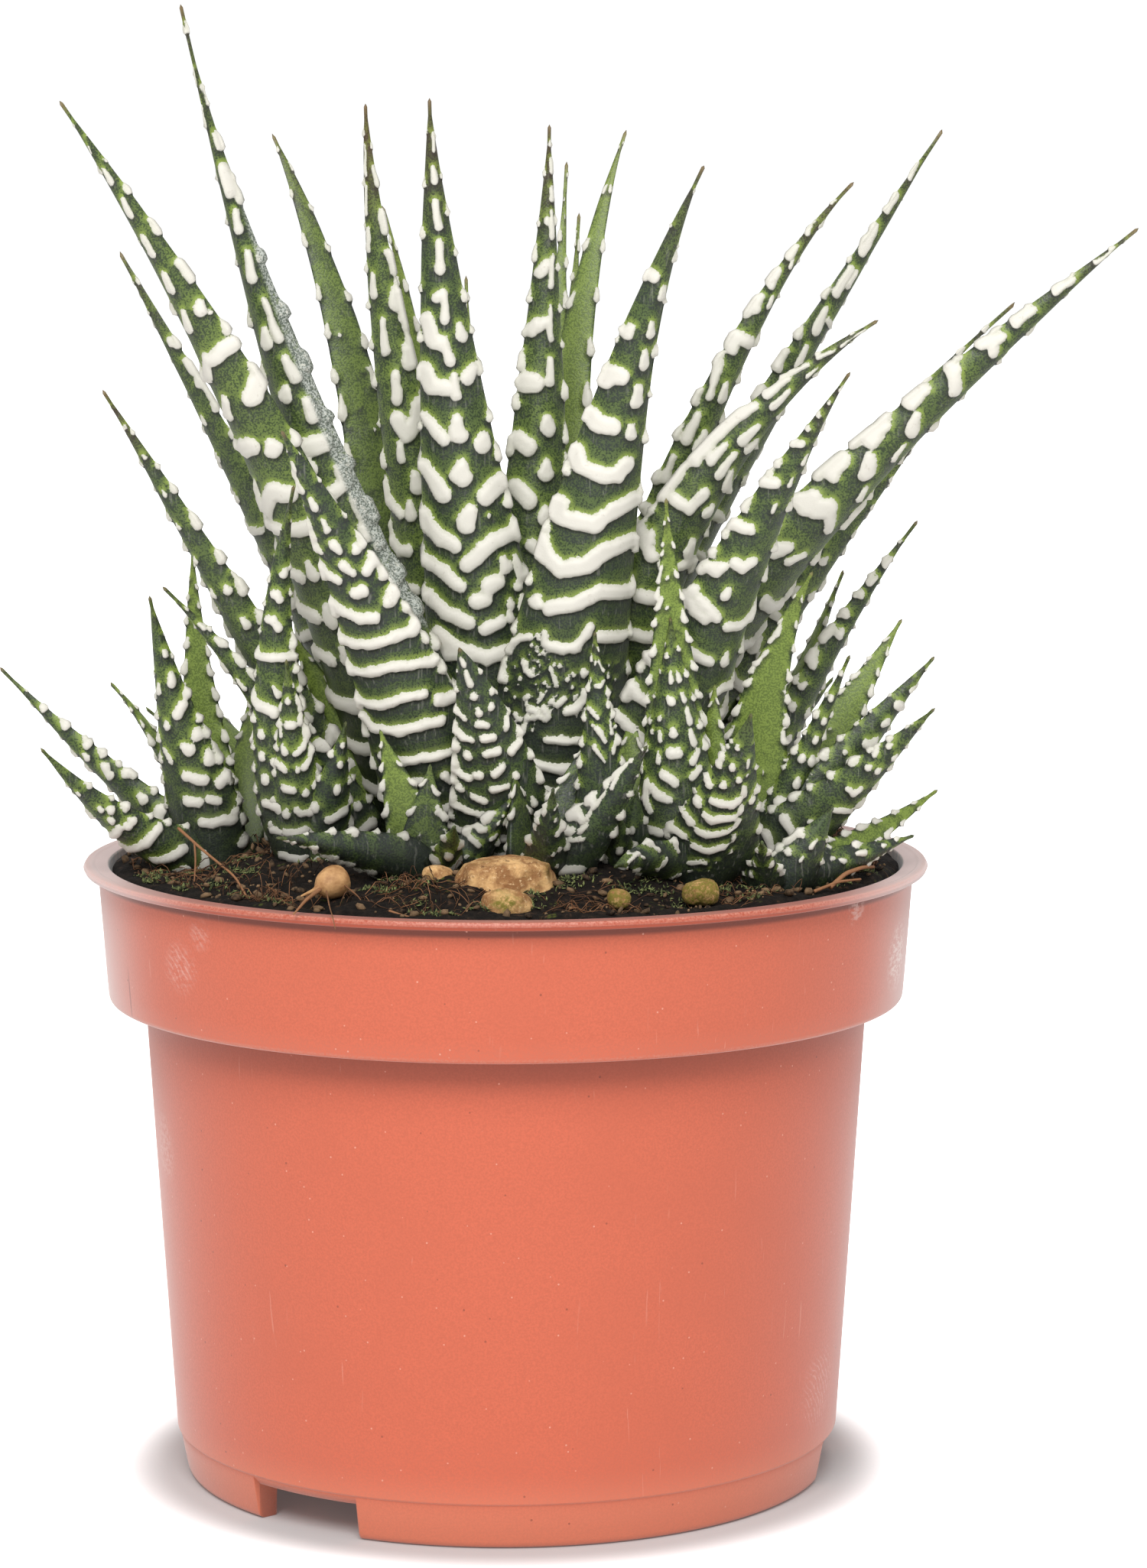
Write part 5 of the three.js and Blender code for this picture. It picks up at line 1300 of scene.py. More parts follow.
def soil_height(x, y, soil, wall):
    """Mound that falls off towards the wall as the fourth power of the share of the radius, with lumps."""
    edge, mound, lump = soil.edge / MM, soil.mound / MM, soil.lump / MM
    share = np.minimum(1, np.hypot(x, y) / inner_radius(edge, wall))
    lumps = np.sin(x * 0.31 + 1) * np.cos(y * 0.27) + np.sin(x * 0.13 - y * 0.22)
    return edge + mound * (1 - share ** 4) + lump * lumps * (1 - share ** 6)


def crumbled_height(x, y, soil, wall):
    """Height of the soil with its crumbs: layered noise on top of the mound, heaped against the wall."""
    places = np.stack([x, y, np.zeros_like(x)], axis=-1)
    crumbs = layered_noise(places, 3.4, 3) + 0.5 * np.abs(layered_noise(places + 40, 1.3, 2))
    heap = soil.heap / MM * smoothstep(np.hypot(x, y), HEAP_FROM, HEAP_TO)
    return soil_height(x, y, soil, wall) + soil.crumb / MM * crumbs + heap


def ball_grid(rows, columns):
    """Directions on a ball from its lower pole to its upper one, without the poles."""
    tilt = np.linspace(-math.pi / 2, math.pi / 2, rows + 2)[1:-1][:, None]
    turn = full_turn(columns)
    return np.stack([
        np.cos(tilt) * np.cos(turn), np.cos(tilt) * np.sin(turn),
        np.broadcast_to(np.sin(tilt), (rows, columns))], axis=-1)


def strand_grid(points, first, last):
    """A round tube along the running mean of a line through the points, from one radius to the other."""
    knots = np.array(points, dtype=float)
    spots = np.linspace(0, len(knots) - 1, 12 * len(knots))
    path = np.stack([np.interp(spots, np.arange(len(knots)), knots[:, axis]) for axis in range(3)], axis=1)
    padded = np.pad(path, ((4, 4), (0, 0)), mode="reflect", reflect_type="odd")
    path = np.stack([np.convolve(padded[:, axis], np.ones(9) / 9, mode="valid") for axis in range(3)], axis=1)
    tangent = unit(np.gradient(path, axis=0))
    side = unit(np.cross(tangent, np.array([0.1, 0.2, 1.0])))
    turn = full_turn(7)[None, :, None]
    ring = side[:, None] * np.cos(turn) + np.cross(side, tangent)[:, None] * np.sin(turn)
    return path[:, None] + ring * np.linspace(first, last, len(path))[:, None, None]


def flat_map(grid):
    """A map of a closed grid: turn and row, in the same units for every shape."""
    rows, columns = grid.shape[:2]
    turn = np.broadcast_to(np.arange(columns + 1) / columns, (rows, columns + 1))
    level = np.broadcast_to(np.arange(rows)[:, None] / rows, (rows, columns + 1))
    return np.stack([turn, level], axis=-1)


class HAWORTHIA_OT_pot(Operator):
    """Build the pot: collar, rolled lip, body, foot ring with notches, and drains"""

    bl_idname = "haworthia.pot"
    bl_label = "Build pot"

    def execute(self, context):
        settings = context.scene.haworthia_pot
        wall, lip_drop, round_off = settings.wall / MM, settings.lip_drop / MM, settings.rounding / MM
        ring_inner = FOOT_RADIUS - FOOT_RING_WIDTH
        shoulder = COLLAR_FOOT_HEIGHT + wall
        profile = rounded([
            (0, FLOOR_UNDERSIDE, 0), (20, FLOOR_UNDERSIDE, 0),
            (FOOT_RADIUS - NOTCH_DEPTH, FLOOR_UNDERSIDE, 0),
            (FOOT_RADIUS - NOTCH_DEPTH + 0.2, FLOOR_UNDERSIDE, 0),
            (ring_inner, FLOOR_UNDERSIDE, 0.3),
            (ring_inner, 0, 0.3),
            (FOOT_RADIUS, 0, 0.9),
            (BODY_FOOT_RADIUS - 0.35, FOOT_HEIGHT - 0.1, 0.12),
            (BODY_FOOT_RADIUS - 0.05, FOOT_HEIGHT + 0.15, 0.12),
            (BODY_FOOT_RADIUS + 0.55, 15, 0),
            (0.5 * (BODY_TOP_RADIUS + BODY_FOOT_RADIUS), 0.5 * (COLLAR_FOOT_HEIGHT + FOOT_HEIGHT), 0),
            (BODY_TOP_RADIUS - 0.2, COLLAR_FOOT_HEIGHT - 3, 0),
            (BODY_TOP_RADIUS, COLLAR_FOOT_HEIGHT, round_off),
            (COLLAR_FOOT_RADIUS - 0.05, COLLAR_FOOT_HEIGHT, 2 * round_off),
            (COLLAR_FOOT_RADIUS + 0.2, COLLAR_FOOT_HEIGHT + 3, 0),
            (COLLAR_TOP_RADIUS - 0.1, POT_HEIGHT - lip_drop - 2, 0),
            (COLLAR_TOP_RADIUS, POT_HEIGHT - lip_drop - 0.1, 0.3),
            (LIP_RADIUS - 0.25, POT_HEIGHT - lip_drop, 0.2),
            (LIP_RADIUS - 0.15, POT_HEIGHT - 0.62, 0.1),
            (LIP_RADIUS - 0.02, POT_HEIGHT - 0.5, 0.1),
            (LIP_RADIUS - 0.2, POT_HEIGHT - 0.36, 0.1),
            (LIP_RADIUS - 0.3, POT_HEIGHT - 0.02, 0.22),
            (LIP_RADIUS - 1.2, POT_HEIGHT, 0.1),
            (LIP_RADIUS - 1.5, POT_HEIGHT - 0.12, 0.1),
            (inner_radius(POT_HEIGHT, wall), POT_HEIGHT - 0.1, round_off),
            (inner_radius(shoulder + 0.1, wall), shoulder, round_off),
            (inner_radius(shoulder - 0.1, wall), shoulder, round_off),
            (inner_radius(FLOOR_TOP, wall), FLOOR_TOP, 1),
            (20, FLOOR_TOP, 0),
            (0, FLOOR_TOP, 0),
        ])[1:-1]
        edges = [heading + side * NOTCH_SPAN / 2 for heading in NOTCH_HEADINGS for side in (-1, 1)]
        beside = [edge + offset for edge in edges for offset in (-0.9, -0.35, -0.05, 0.05, 0.35, 0.9)]
        even = np.linspace(0, 360, settings.columns, endpoint=False)
        near = np.min(np.abs((even[:, None] - edges + 180) % 360 - 180), axis=1)
        degrees = np.sort(np.concatenate([even[near > 1.2], np.mod(beside, 360)]))
        grid = lathe_grid(profile, np.radians(degrees))
        offset = np.abs((degrees[:, None] - NOTCH_HEADINGS + 180) % 360 - 180).min(axis=1)
        in_notch = (offset < NOTCH_SPAN / 2)[None] & (profile[:, :1] > FOOT_RADIUS - NOTCH_DEPTH + 0.1)
        grid[..., 2] = np.where(in_notch, np.maximum(grid[..., 2], NOTCH_HEIGHT), grid[..., 2])
        radius, level = profile.T
        edge_wear = sum(
            strength * np.exp(-((level - height) / width) ** 2) * (radius > inside)
            for strength, height, width, inside in (
                (1, POT_HEIGHT - 0.15, 0.22, LIP_RADIUS - 0.9),
                (0.5, POT_HEIGHT - 0.5, 0.1, LIP_RADIUS - 0.3),
                (0.6, COLLAR_FOOT_HEIGHT + 0.3, 0.35, COLLAR_FOOT_RADIUS - 1),
                (0.5, FOOT_HEIGHT + 0.1, 0.14, BODY_FOOT_RADIUS - 0.5)))
        heading = np.radians(np.concatenate([degrees, [degrees[0] + 360]]))
        unrolled = np.stack(np.broadcast_arrays(
            heading[None] * BODY_TOP_RADIUS, level[:, None]), axis=-1)
        shell = Shell()
        wear = np.broadcast_to(edge_wear[:, None], grid.shape[:2])
        shell.add_tube(
            grid, unrolled, {"wear": wear}, first=(0, 0, FLOOR_UNDERSIDE), last=(0, 0, FLOOR_TOP))
        piece = shell.finish("nursery_pot", self.material(settings), ["pot"])
        self.drill(piece)
        return {"FINISHED"}

    @staticmethod
    def drill(piece):
        """Cuts the three round drains through the floor."""
        shell = Shell()
        turn = full_turn(32)
        for heading in np.radians(NOTCH_HEADINGS):
            x, y = DRAIN_CIRCLE * math.sin(heading), -DRAIN_CIRCLE * math.cos(heading)
            ends = [(DRAIN_RADIUS, FLOOR_UNDERSIDE - 2), (DRAIN_RADIUS, FLOOR_TOP + 2)]
            grid = lathe_grid(ends, turn, x, y)
            shell.add_tube(grid, flat_map(grid), {})
        cutter = shell.finish("drain_cutter", piece.data.materials[0])
        cut = piece.modifiers.new("drains", "BOOLEAN")
        cut.operation = "DIFFERENCE"
        cut.solver = "EXACT"
        cut.object = cutter
        evaluated = piece.evaluated_get(bpy.context.evaluated_depsgraph_get())
        mesh = bpy.data.meshes.new_from_object(evaluated)
        piece.modifiers.clear()
        plain = piece.data
        piece.data = mesh
        bpy.data.meshes.remove(plain)
        bpy.data.objects.remove(cutter)

    @staticmethod
    def material(settings):
        """Matt orange plastic with pale worn edges, dusty scuffs, specks, fine scratches and a darker red
        lip; painted shadow under the collar and the lip, painted sheen on the collar and the lip's flanks,
        painted light near the foot, painted dirt and shade on the inner wall.
        """
        material, graph, shader = new_material("pot plastic")
        place = graph.places()
        wear = graph.attribute("wear")
        cloud = graph.noise(place, 16, 3, 0.55)
        fine = graph.noise(place, 0.26, 2, 0.6)
        plastic, worn = tuple(settings.plastic), tuple(settings.worn)
        deeper = tuple(0.88 * value for value in plastic)
        colour = graph.blend(graph.step(fine, 0.3, 0.7), plastic, deeper)
        colour = graph.tint(colour, deeper, graph.step(cloud, 0.45, 0.65), 0.35)
        level = graph.add("ShaderNodeSeparateXYZ", {0: place}).outputs["Z"]
        # Painted shadow under the collar's overhang, darkest right under it and fading downwards
        under = graph.step(level, 54, 60)
        colour = graph.tint(colour, (0.1, 0.03, 0.02), under, graph.step(level, 60.02, 59.98), 0.45)
        lip = graph.step(level, POT_HEIGHT - 1.2, POT_HEIGHT - 0.9)
        colour = graph.tint(colour, (0.34, 0.045, 0.015), lip, 0.7)
        # Painted shadow: a dark band right under the lip
        under_lip_shadow_foot = graph.step(level, POT_HEIGHT - 2.3, POT_HEIGHT - 1.7)
        under_lip_shadow_top = graph.step(level, POT_HEIGHT - 0.95, POT_HEIGHT - 1.05)
        colour = graph.tint(colour, (0.1, 0.022, 0.014), under_lip_shadow_foot, under_lip_shadow_top, 0.75)
        out = graph.distance(graph.places((1, 1, 0)), (AXIS[0], AXIS[1], 0))
        # Painted sheen: the collar turns pale pink where its face turns away from the view
        facing = graph.add("ShaderNodeLayerWeight", {"Blend": 0.5}).outputs["Facing"]
        collar = graph.times(graph.step(level, 60, 60.1), graph.step(level, POT_HEIGHT, 75))
        colour = graph.tint(colour, linear(236, 210, 204), graph.step(facing, 0.5, 1.0), collar, 0.55)
        # Painted sheen: the lip turns pale pink at its left and right flanks
        flank_painted_sheen = graph.step(graph.distance(graph.places((1, 0, 0)), (AXIS[0], 0, 0)), 34, 51)
        colour = graph.tint(colour, linear(242, 226, 222), flank_painted_sheen, lip, 0.65)
        # Painted dirt and shade: the inner wall above the soil is dark brown, clodded like the soil
        inside = graph.step(out, COLLAR_TOP_RADIUS - 1.1, COLLAR_TOP_RADIUS - 1.25)
        clods = graph.step(graph.noise(place, 1.6, 4, 0.7), 0.35, 0.65)
        dirt = graph.blend(clods, linear(40, 28, 22), linear(140, 108, 88))
        colour = graph.tint(colour, dirt, inside, graph.step(level, 66, 67), 0.85)
        # Painted light: the lowest part of the body is lighter, as if lit from the white floor below
        colour = graph.tint(colour, linear(244, 160, 128), graph.step(level, 10, 3), 0.3)
        speck = graph.step(graph.cells(place, 2.1), 0.07, 0.035)
        colour = graph.tint(colour, worn, speck, 0.7)
        dark_speck = graph.step(graph.cells(graph.places((1.1, 0.9, 1.05)), 3.7), 0.05, 0.03)
        colour = graph.tint(colour, linear(90, 40, 30), dark_speck, 0.5)
        line = graph.noise(graph.places((1.4, 1.4, 0.06)), 0.7, 2, 0.5, 0.4)
        scratch = graph.times(graph.step(line, 0.69, 0.74), graph.step(cloud, 0.5, 0.62))
        rub = graph.times(wear, graph.step(fine, 0.25, 0.75))
        pale = graph.math("ADD", rub, graph.times(scratch, 0.45), clamp=True)
        colour = graph.tint(colour, worn, pale, 0.6)
        drift = graph.add("ShaderNodeVectorMath", {
            0: graph.add("ShaderNodeTexNoise", {"Vector": place, "Scale": 0.4}).outputs["Color"],
            1: (1.2, 1.2, 1.2), 2: place}, operation="MULTIPLY_ADD").outputs[0]
        dust = graph.noise(graph.places((0.9, 0.9, 2.2)), 1.1, 4, 0.7)
        for middle, reach, strength, hub, scratched in SCUFFS:
            middle, hub = (tuple(np.array(point) + AXIS) for point in (middle, hub))
            patch = graph.step(graph.distance(drift, middle), reach, 0.3 * reach)
            colour = graph.tint(colour, linear(240, 206, 196), patch, strength, graph.step(dust, 0.42, 0.62))
            wave = graph.math("SINE", graph.times(graph.distance(drift, hub), 8.5))
            arc = graph.times(graph.step(wave, 0.3, 1.0), patch, graph.step(dust, 0.36, 0.56))
            colour = graph.tint(colour, linear(250, 226, 216), arc, scratched)
        flat = graph.places((1, 1, 0))
        seam = graph.distance(flat, (MOULD_LINE[0] + AXIS[0], MOULD_LINE[1] + AXIS[1], 0))
        seam = graph.step(seam, 0.35, 0.1)
        colour = graph.tint(colour, linear(120, 50, 40), seam, graph.step(level, 60, 60.1), 0.5)
        shader.inputs["Sheen Weight"].default_value = 0.4
        shader.inputs["Sheen Roughness"].default_value = 0.4
        gloss = graph.math("MULTIPLY_ADD", fine, 0.16, 0.34)
        finish_skin(graph, shader, colour, gloss, 0.5, (0.25, 0.06, fine))
        return material


class HAWORTHIA_OT_soil(Operator):
    """Build the soil that fills the pot up to its mound"""

    bl_idname = "haworthia.soil"
    bl_label = "Build soil"

    def execute(self, context):
        soil, wall = context.scene.haworthia_soil, context.scene.haworthia_pot.wall / MM
        edge = inner_radius(soil.edge / MM, wall) - SOIL_GAP
        angles = full_turn(SOIL_COLUMNS)
        rings = edge * np.linspace(1, 0, SOIL_RINGS, endpoint=False)
        top = lathe_grid(np.stack([rings, np.zeros_like(rings)], axis=1), angles)
        top[..., 2] = crumbled_height(top[..., 0], top[..., 1], soil, wall)
        top[0, :, 2] = np.minimum(top[0, :, 2], (soil.edge + soil.heap) / MM)
        floor, shoulder = FLOOR_TOP + SOIL_GAP, COLLAR_FOOT_HEIGHT + wall + SOIL_GAP
        side = lathe_grid([
            (inner_radius(FLOOR_TOP, wall) - SOIL_GAP, floor),
            (inner_radius(shoulder - 0.5, wall) - SOIL_GAP, shoulder),
            (inner_radius(shoulder, wall) - SOIL_GAP, shoulder),
            (edge, soil.edge / MM - 1.5)], angles)
        grid = np.concatenate([side, top])
        centre = crumbled_height(np.zeros(1), np.zeros(1), soil, wall)[0]
        shell = Shell()
        shell.add_tube(grid, flat_map(grid), {}, first=(0, 0, floor), last=(0, 0, centre))
        shell.finish("potting_soil", self.material(soil), ["soil"])
        return {"FINISHED"}

    @staticmethod
    def material(soil):
        """Dark crumbly earth with brown grains and a green film in places."""
        material, graph, shader = new_material("earth")
        place = graph.places()
        crumb = graph.noise(place, 1.1, 4, 0.65)
        cloud = graph.noise(place, 7, 3, 0.6)
        grains = graph.cells(place, 0.9)
        earth = tuple(soil.earth)
        colour = graph.blend(graph.step(crumb, 0.35, 0.68), tuple(0.25 * value for value in earth), earth)
        colour = graph.tint(
            colour, linear(104, 74, 52), graph.step(crumb, 0.58, 0.75), graph.step(cloud, 0.4, 0.6))
        film = graph.step(cloud, 0.56, 0.66)
        colour = graph.tint(colour, linear(96, 104, 44), film, graph.step(grains, 0.45, 0.15), 0.5)
        finish_skin(graph, shader, colour, 0.92, 0.2, (0.9, 0.5, crumb))
        return material


# A twenty-sided grain and an eight-sided leaflet, which the litter repeats
GOLDEN = (1 + math.sqrt(5)) / 2
GRAIN_POINTS = unit(np.array([
    (-1, GOLDEN, 0), (1, GOLDEN, 0), (-1, -GOLDEN, 0), (1, -GOLDEN, 0), (0, -1, GOLDEN), (0, 1, GOLDEN),
    (0, -1, -GOLDEN), (0, 1, -GOLDEN), (GOLDEN, 0, -1), (GOLDEN, 0, 1), (-GOLDEN, 0, -1), (-GOLDEN, 0, 1),
], dtype=float))
GRAIN_FACES = np.array([
    (0, 11, 5), (0, 5, 1), (0, 1, 7), (0, 7, 10), (0, 10, 11), (1, 5, 9), (5, 11, 4), (11, 10, 2),
    (10, 7, 6), (7, 1, 8), (3, 9, 4), (3, 4, 2), (3, 2, 6), (3, 6, 8), (3, 8, 9), (4, 9, 5), (2, 4, 11),
    (6, 2, 10), (8, 6, 7), (9, 8, 1),
])
LEAFLET_POINTS = np.array([(1, 0, 0), (0, 0.35, 0), (-1, 0, 0), (0, -0.35, 0), (0, 0, 0.18), (0, 0, -0.18)])
LEAFLET_FACES = np.array([
    (0, 1, 4), (1, 2, 4), (2, 3, 4), (3, 0, 4), (1, 0, 5), (2, 1, 5), (3, 2, 5), (0, 3, 5),
])


def tilted(forms, yaw, pitch):
    """Shapes that are each first tilted about Y and then turned about Z."""
    cy, sy, cp, sp = np.cos(yaw), np.sin(yaw), np.cos(pitch), np.sin(pitch)
    zero = np.zeros_like(yaw)
    turns = np.stack([
        np.stack([cy * cp, -sy, cy * sp], axis=-1),
        np.stack([sy * cp, cy, sy * sp], axis=-1),
        np.stack([-sp, zero, cp], axis=-1)], axis=-2)
    return np.einsum("nij,nkj->nki", turns, forms)


def spots_on_soil(count, random, edge, power=0.42):
    """Random places on the soil. A power under 0.5 sets more of them near the wall."""
    radius = edge * random.uniform(0, 1, count) ** power
    turn = random.uniform(0, 2 * math.pi, count)
    return radius * np.sin(turn), -radius * np.cos(turn)


class HAWORTHIA_OT_litter(Operator):
    """Strew bark chips, grit, moss and fibres over the soil"""

    bl_idname = "haworthia.litter"
    bl_label = "Strew litter"

    def execute(self, context):
        soil, wall = context.scene.haworthia_soil, context.scene.haworthia_pot.wall / MM
        random = np.random.default_rng(5)
        edge = inner_radius(soil.edge / MM, wall) - 1.6
        self.grains(soil, wall, random, edge)
        self.moss(soil, wall, random, edge)
        self.fibres(soil, wall, random, edge - 1)
        self.strands()
        return {"FINISHED"}

    def grains(self, soil, wall, random, edge):
        """Chips of bark, flat and long, and rounder pale grit."""
        for name, count, low, high, flat, tones in (
                ("bark_chips", soil.chips, 0.25, 1.1, 0.5, (0.0, 0.6)),
                ("grit", soil.grit, 0.15, 0.45, 0.8, (0.3, 1.0))):
            x, y = spots_on_soil(count, random, edge)
            size = random.uniform(low, high, count) * random.uniform(0.5, 1, count)
            form = GRAIN_POINTS * random.uniform(0.75, 1.2, (count, 12, 1))
            form = form * np.array([1, 0.62, flat]) * size[:, None, None]
            form = tilted(form, random.uniform(0, 7, count), random.normal(0, 0.4, count))
            level = crumbled_height(x, y, soil, wall) + 0.25 * size
            form = form + np.stack([x, y, level], axis=1)[:, None]
            shell = Shell()
            shell.add_copies(form, GRAIN_FACES, {"tone": random.uniform(*tones, count)})
            shell.finish(name, litter_material())

    def moss(self, soil, wall, random, edge):
        """Small tufts of moss: leaflets that stand up out of a few hundred spots."""
        tufts = max(1, soil.moss // MOSS_PER_TUFT)
        x, y = spots_on_soil(tufts, random, edge, 0.3)
        pick = random.integers(0, tufts, soil.moss)
        x = x[pick] + random.normal(0, 0.8, soil.moss)
        y = y[pick] + random.normal(0, 0.8, soil.moss)
        inside = np.minimum(1, edge / np.maximum(np.hypot(x, y), 1))
        x, y = x * inside, y * inside
        size = random.uniform(0.18, 0.5, soil.moss)
        form = LEAFLET_POINTS * size[:, None, None]
        form = tilted(form, random.uniform(0, 7, soil.moss), random.uniform(-1.5, 0.2, soil.moss))
        level = crumbled_height(x, y, soil, wall) + 0.45 * size
        form = form + np.stack([x, y, level], axis=1)[:, None]
        shell = Shell()
        shell.add_copies(form, LEAFLET_FACES, {"tone": random.uniform(0, 1, soil.moss)})
        shell.finish("moss", moss_material())

    def fibres(self, soil, wall, random, edge):
        """Roots and coir: thin three-sided tubes in clumps, each turning at its own rate."""
        count, steps, sides = soil.fibres, 6, 3
        clumps = max(1, count // FIBRES_PER_CLUMP)
        pick = random.integers(0, clumps, count)
        spots = spots_on_soil(clumps, random, edge, 0.3)
        x, y = (places[pick] + random.normal(0, 1.9, count) for places in spots)
        length = random.uniform(1.5, 3, count) + random.uniform(0, 2.2, count) ** 2
        heading = random.uniform(0, 2 * math.pi, (count, 1))
        heading = heading + np.linspace(0, 1, steps) * random.normal(0, 1.3, (count, 1))
        stride = (length / steps)[:, None]
        path_x = x[:, None] + np.cumsum(stride * np.cos(heading), axis=1)
        path_y = y[:, None] + np.cumsum(stride * np.sin(heading), axis=1)
        inside = np.minimum(1, edge / np.maximum(np.hypot(path_x, path_y), 1))
        path_x, path_y = path_x * inside, path_y * inside
        arch = np.sin(np.linspace(0, math.pi, steps)) * random.uniform(0, 2.2, (count, 1))
        arch = arch * random.uniform(0.1, 1, clumps)[pick][:, None]
        radius = random.uniform(0.03, 0.075, count)
        level = crumbled_height(path_x, path_y, soil, wall) + arch + 0.6 * radius[:, None]
        path = np.stack([path_x, path_y, level], axis=-1)
        tangent = unit(np.gradient(path, axis=1))
        side = unit(np.cross(tangent, np.array([0, 0, 1.0])))
        upward = np.cross(side, tangent)
        turn = full_turn(sides)
        slim = np.sin(np.linspace(0.25, math.pi - 0.25, steps)) ** 0.3
        ring = side[:, :, None] * np.cos(turn)[:, None] + upward[:, :, None] * np.sin(turn)[:, None]
        tube = path[:, :, None] + ring * (radius[:, None] * slim)[:, :, None, None]
        points = np.concatenate([tube.reshape(count, -1, 3), path[:, :1], path[:, -1:]], axis=1)
        faces = []
        for row in range(steps - 1):
            for k in range(sides):
                a, b = row * sides + k, row * sides + (k + 1) % sides
                faces += [(a, b, b + sides), (a, b + sides, a + sides)]
        last, low_end = (steps - 1) * sides, steps * sides
        for k in range(sides):
            on = (k + 1) % sides
            faces += [(low_end, on, k), (last + k, last + on, low_end + 1)]
        shell = Shell()
        shell.add_copies(points, np.array(faces), {"tone": random.uniform(0.1, 0.9, count)})
        shell.finish("fibres", fibre_material())

    @staticmethod
    def strands():
        """The loose roots and straws that show, each a thin tube through its points."""
        shell = Shell()
        for points, first, last, tone in STRANDS:
            grid = strand_grid(points, first, last)
            shell.add_tube(grid, flat_map(grid), {"tone": np.full(grid.shape[:2], tone)})
        shell.finish("loose_roots", fibre_material())


def tinted_material(name, first, second, roughness, size):
    """A plain natural finish between two colours by the mesh's tone, mottled at the given size."""
    if name in bpy.data.materials:
        return bpy.data.materials[name]
    material, graph, shader = new_material(name)
    tone = graph.attribute("tone")
    mottle = graph.noise(graph.places(), size, 3, 0.6)
    mixed = graph.math("MULTIPLY_ADD", mottle, 0.8, graph.math("ADD", tone, -0.4), clamp=True)
    finish_skin(graph, shader, graph.blend(mixed, first, second), roughness, 0.25, (0.6, 0.12, mottle))
    return material


def litter_material():
    """Bark and grit, from nearly black to pale tan."""
    return tinted_material("bark and grit", linear(26, 18, 14), linear(168, 136, 102), 0.85, 0.5)


def moss_material():
    """Moss, from olive to yellow green."""
    return tinted_material("moss", linear(24, 36, 22), linear(138, 146, 92), 0.8, 0.5)


def fibre_material():
    """Coir and roots, from reddish brown to straw."""
    return tinted_material("fibre", linear(34, 20, 16), linear(158, 112, 78), 0.7, 1.2)


class HAWORTHIA_OT_stones(Operator):
    """Build the stones and the dry bulb that lie on the soil"""

    bl_idname = "haworthia.stones"
    bl_label = "Build stones"

    def execute(self, context):
        for name, stone in STONES.items():
            self.stone(name, **stone)
        self.bulb()
        return {"FINISHED"}

    def stone(self, name, at, half, turn, bumps, moss):
        """A ball pressed to three half sizes, dented by broad waves and roughened by layered noise."""
        ball = ball_grid(int(30 + 4 * half[0]), int(48 + 6 * half[0]))
        ball = ball / np.abs(ball).max(axis=-1, keepdims=True) ** (0.08 * half[0])
        broad = np.sin(3.1 * ball[..., 0] + bumps)
        fine = np.cos(2.7 * ball[..., 1] - bumps) * np.sin(2.3 * ball[..., 2] + bumps)
        grid = ball * (0.97 + 0.05 * (broad + fine))[..., None] * np.array(half, dtype=float)
        rough = layered_noise(grid + 9 * bumps, 2.2, 4)
        grid = grid * (1 + 0.16 * rough / np.mean(half) * 2)[..., None]
        angle = math.radians(turn)
        cosine, sine = math.cos(angle), math.sin(angle)
        spin = np.array([[cosine, -sine, 0], [sine, cosine, 0], [0, 0, 1]])
        grid = grid @ spin.T + np.array(at, dtype=float)
        growth = np.clip(moss + 0.6 * layered_noise(grid, 2.6, 3), 0, 1)
        shell = Shell()
        shell.add_tube(grid, flat_map(grid), {"moss": growth})
        shell.finish("pebble" + name[len("stone"):], stone_material(), [name])

    def bulb(self):
        """A round body drawn out into a short root, turned on the line of its tail."""
        radius, tail = BULB["radius"], np.array(BULB["tail"], dtype=float)
        length = np.linalg.norm(tail)
        profile = rounded([
            (0.01, -0.9 * radius, 0), (0.7 * radius, -0.86 * radius, 0.8), (radius, -0.1 * radius, 0.9),
            (0.7 * radius, 0.75 * radius, 0.8), (0.3, 0.5 * length, 0.6), (0.12, length, 0.1),
            (0.01, length, 0),
        ], 8)
        grid = lathe_grid(profile, full_turn(48))
        grid = grid * (1 + 0.06 * layered_noise(grid * np.array([1, 1, 0.4]), 1.1, 3))[..., None]
        along = tail / length
        side = unit(np.cross(along, np.array([0, 0, 1.0])))
        grid = grid @ np.stack([side, np.cross(along, side), along]) + np.array(BULB["at"], dtype=float)
        shell = Shell()
        shell.add_tube(grid, flat_map(grid), {"tone": 0.5 + 0.4 * layered_noise(grid, 1.2, 3)})
        material = tinted_material("bulb skin", linear(120, 68, 32), linear(230, 184, 128), 0.55, 0.7)
        shell.finish("bulb", material, ["dry_bulb"])


def stone_material():
    """Warm sandstone, pitted and with dark patches, with yellow-green moss where it grows."""
    if "sandstone" in bpy.data.materials:
        return bpy.data.materials["sandstone"]
    material, graph, shader = new_material("sandstone")
    place = graph.places()
    broad = graph.noise(place, 2.4, 4, 0.65)
    fine = graph.noise(place, 0.45, 3, 0.7)
    colour = graph.blend(graph.step(broad, 0.38, 0.66), linear(150, 106, 66), linear(222, 178, 122))
    colour = graph.blend(graph.step(fine, 0.55, 0.75), colour, linear(240, 206, 158))
    dirt = graph.step(graph.noise(place, 1.3, 4, 0.7), 0.6, 0.72)
    colour = graph.tint(colour, linear(70, 48, 34), dirt, 0.7)
    growth = graph.step(graph.attribute("moss"), 0.35, 0.75)
    colour = graph.tint(colour, linear(122, 112, 46), growth, graph.step(fine, 0.3, 0.6))
    height = graph.math("MULTIPLY_ADD", fine, 0.5, broad)
    finish_skin(graph, shader, colour, 0.85, 0.3, (0.8, 0.3, height))
    return material


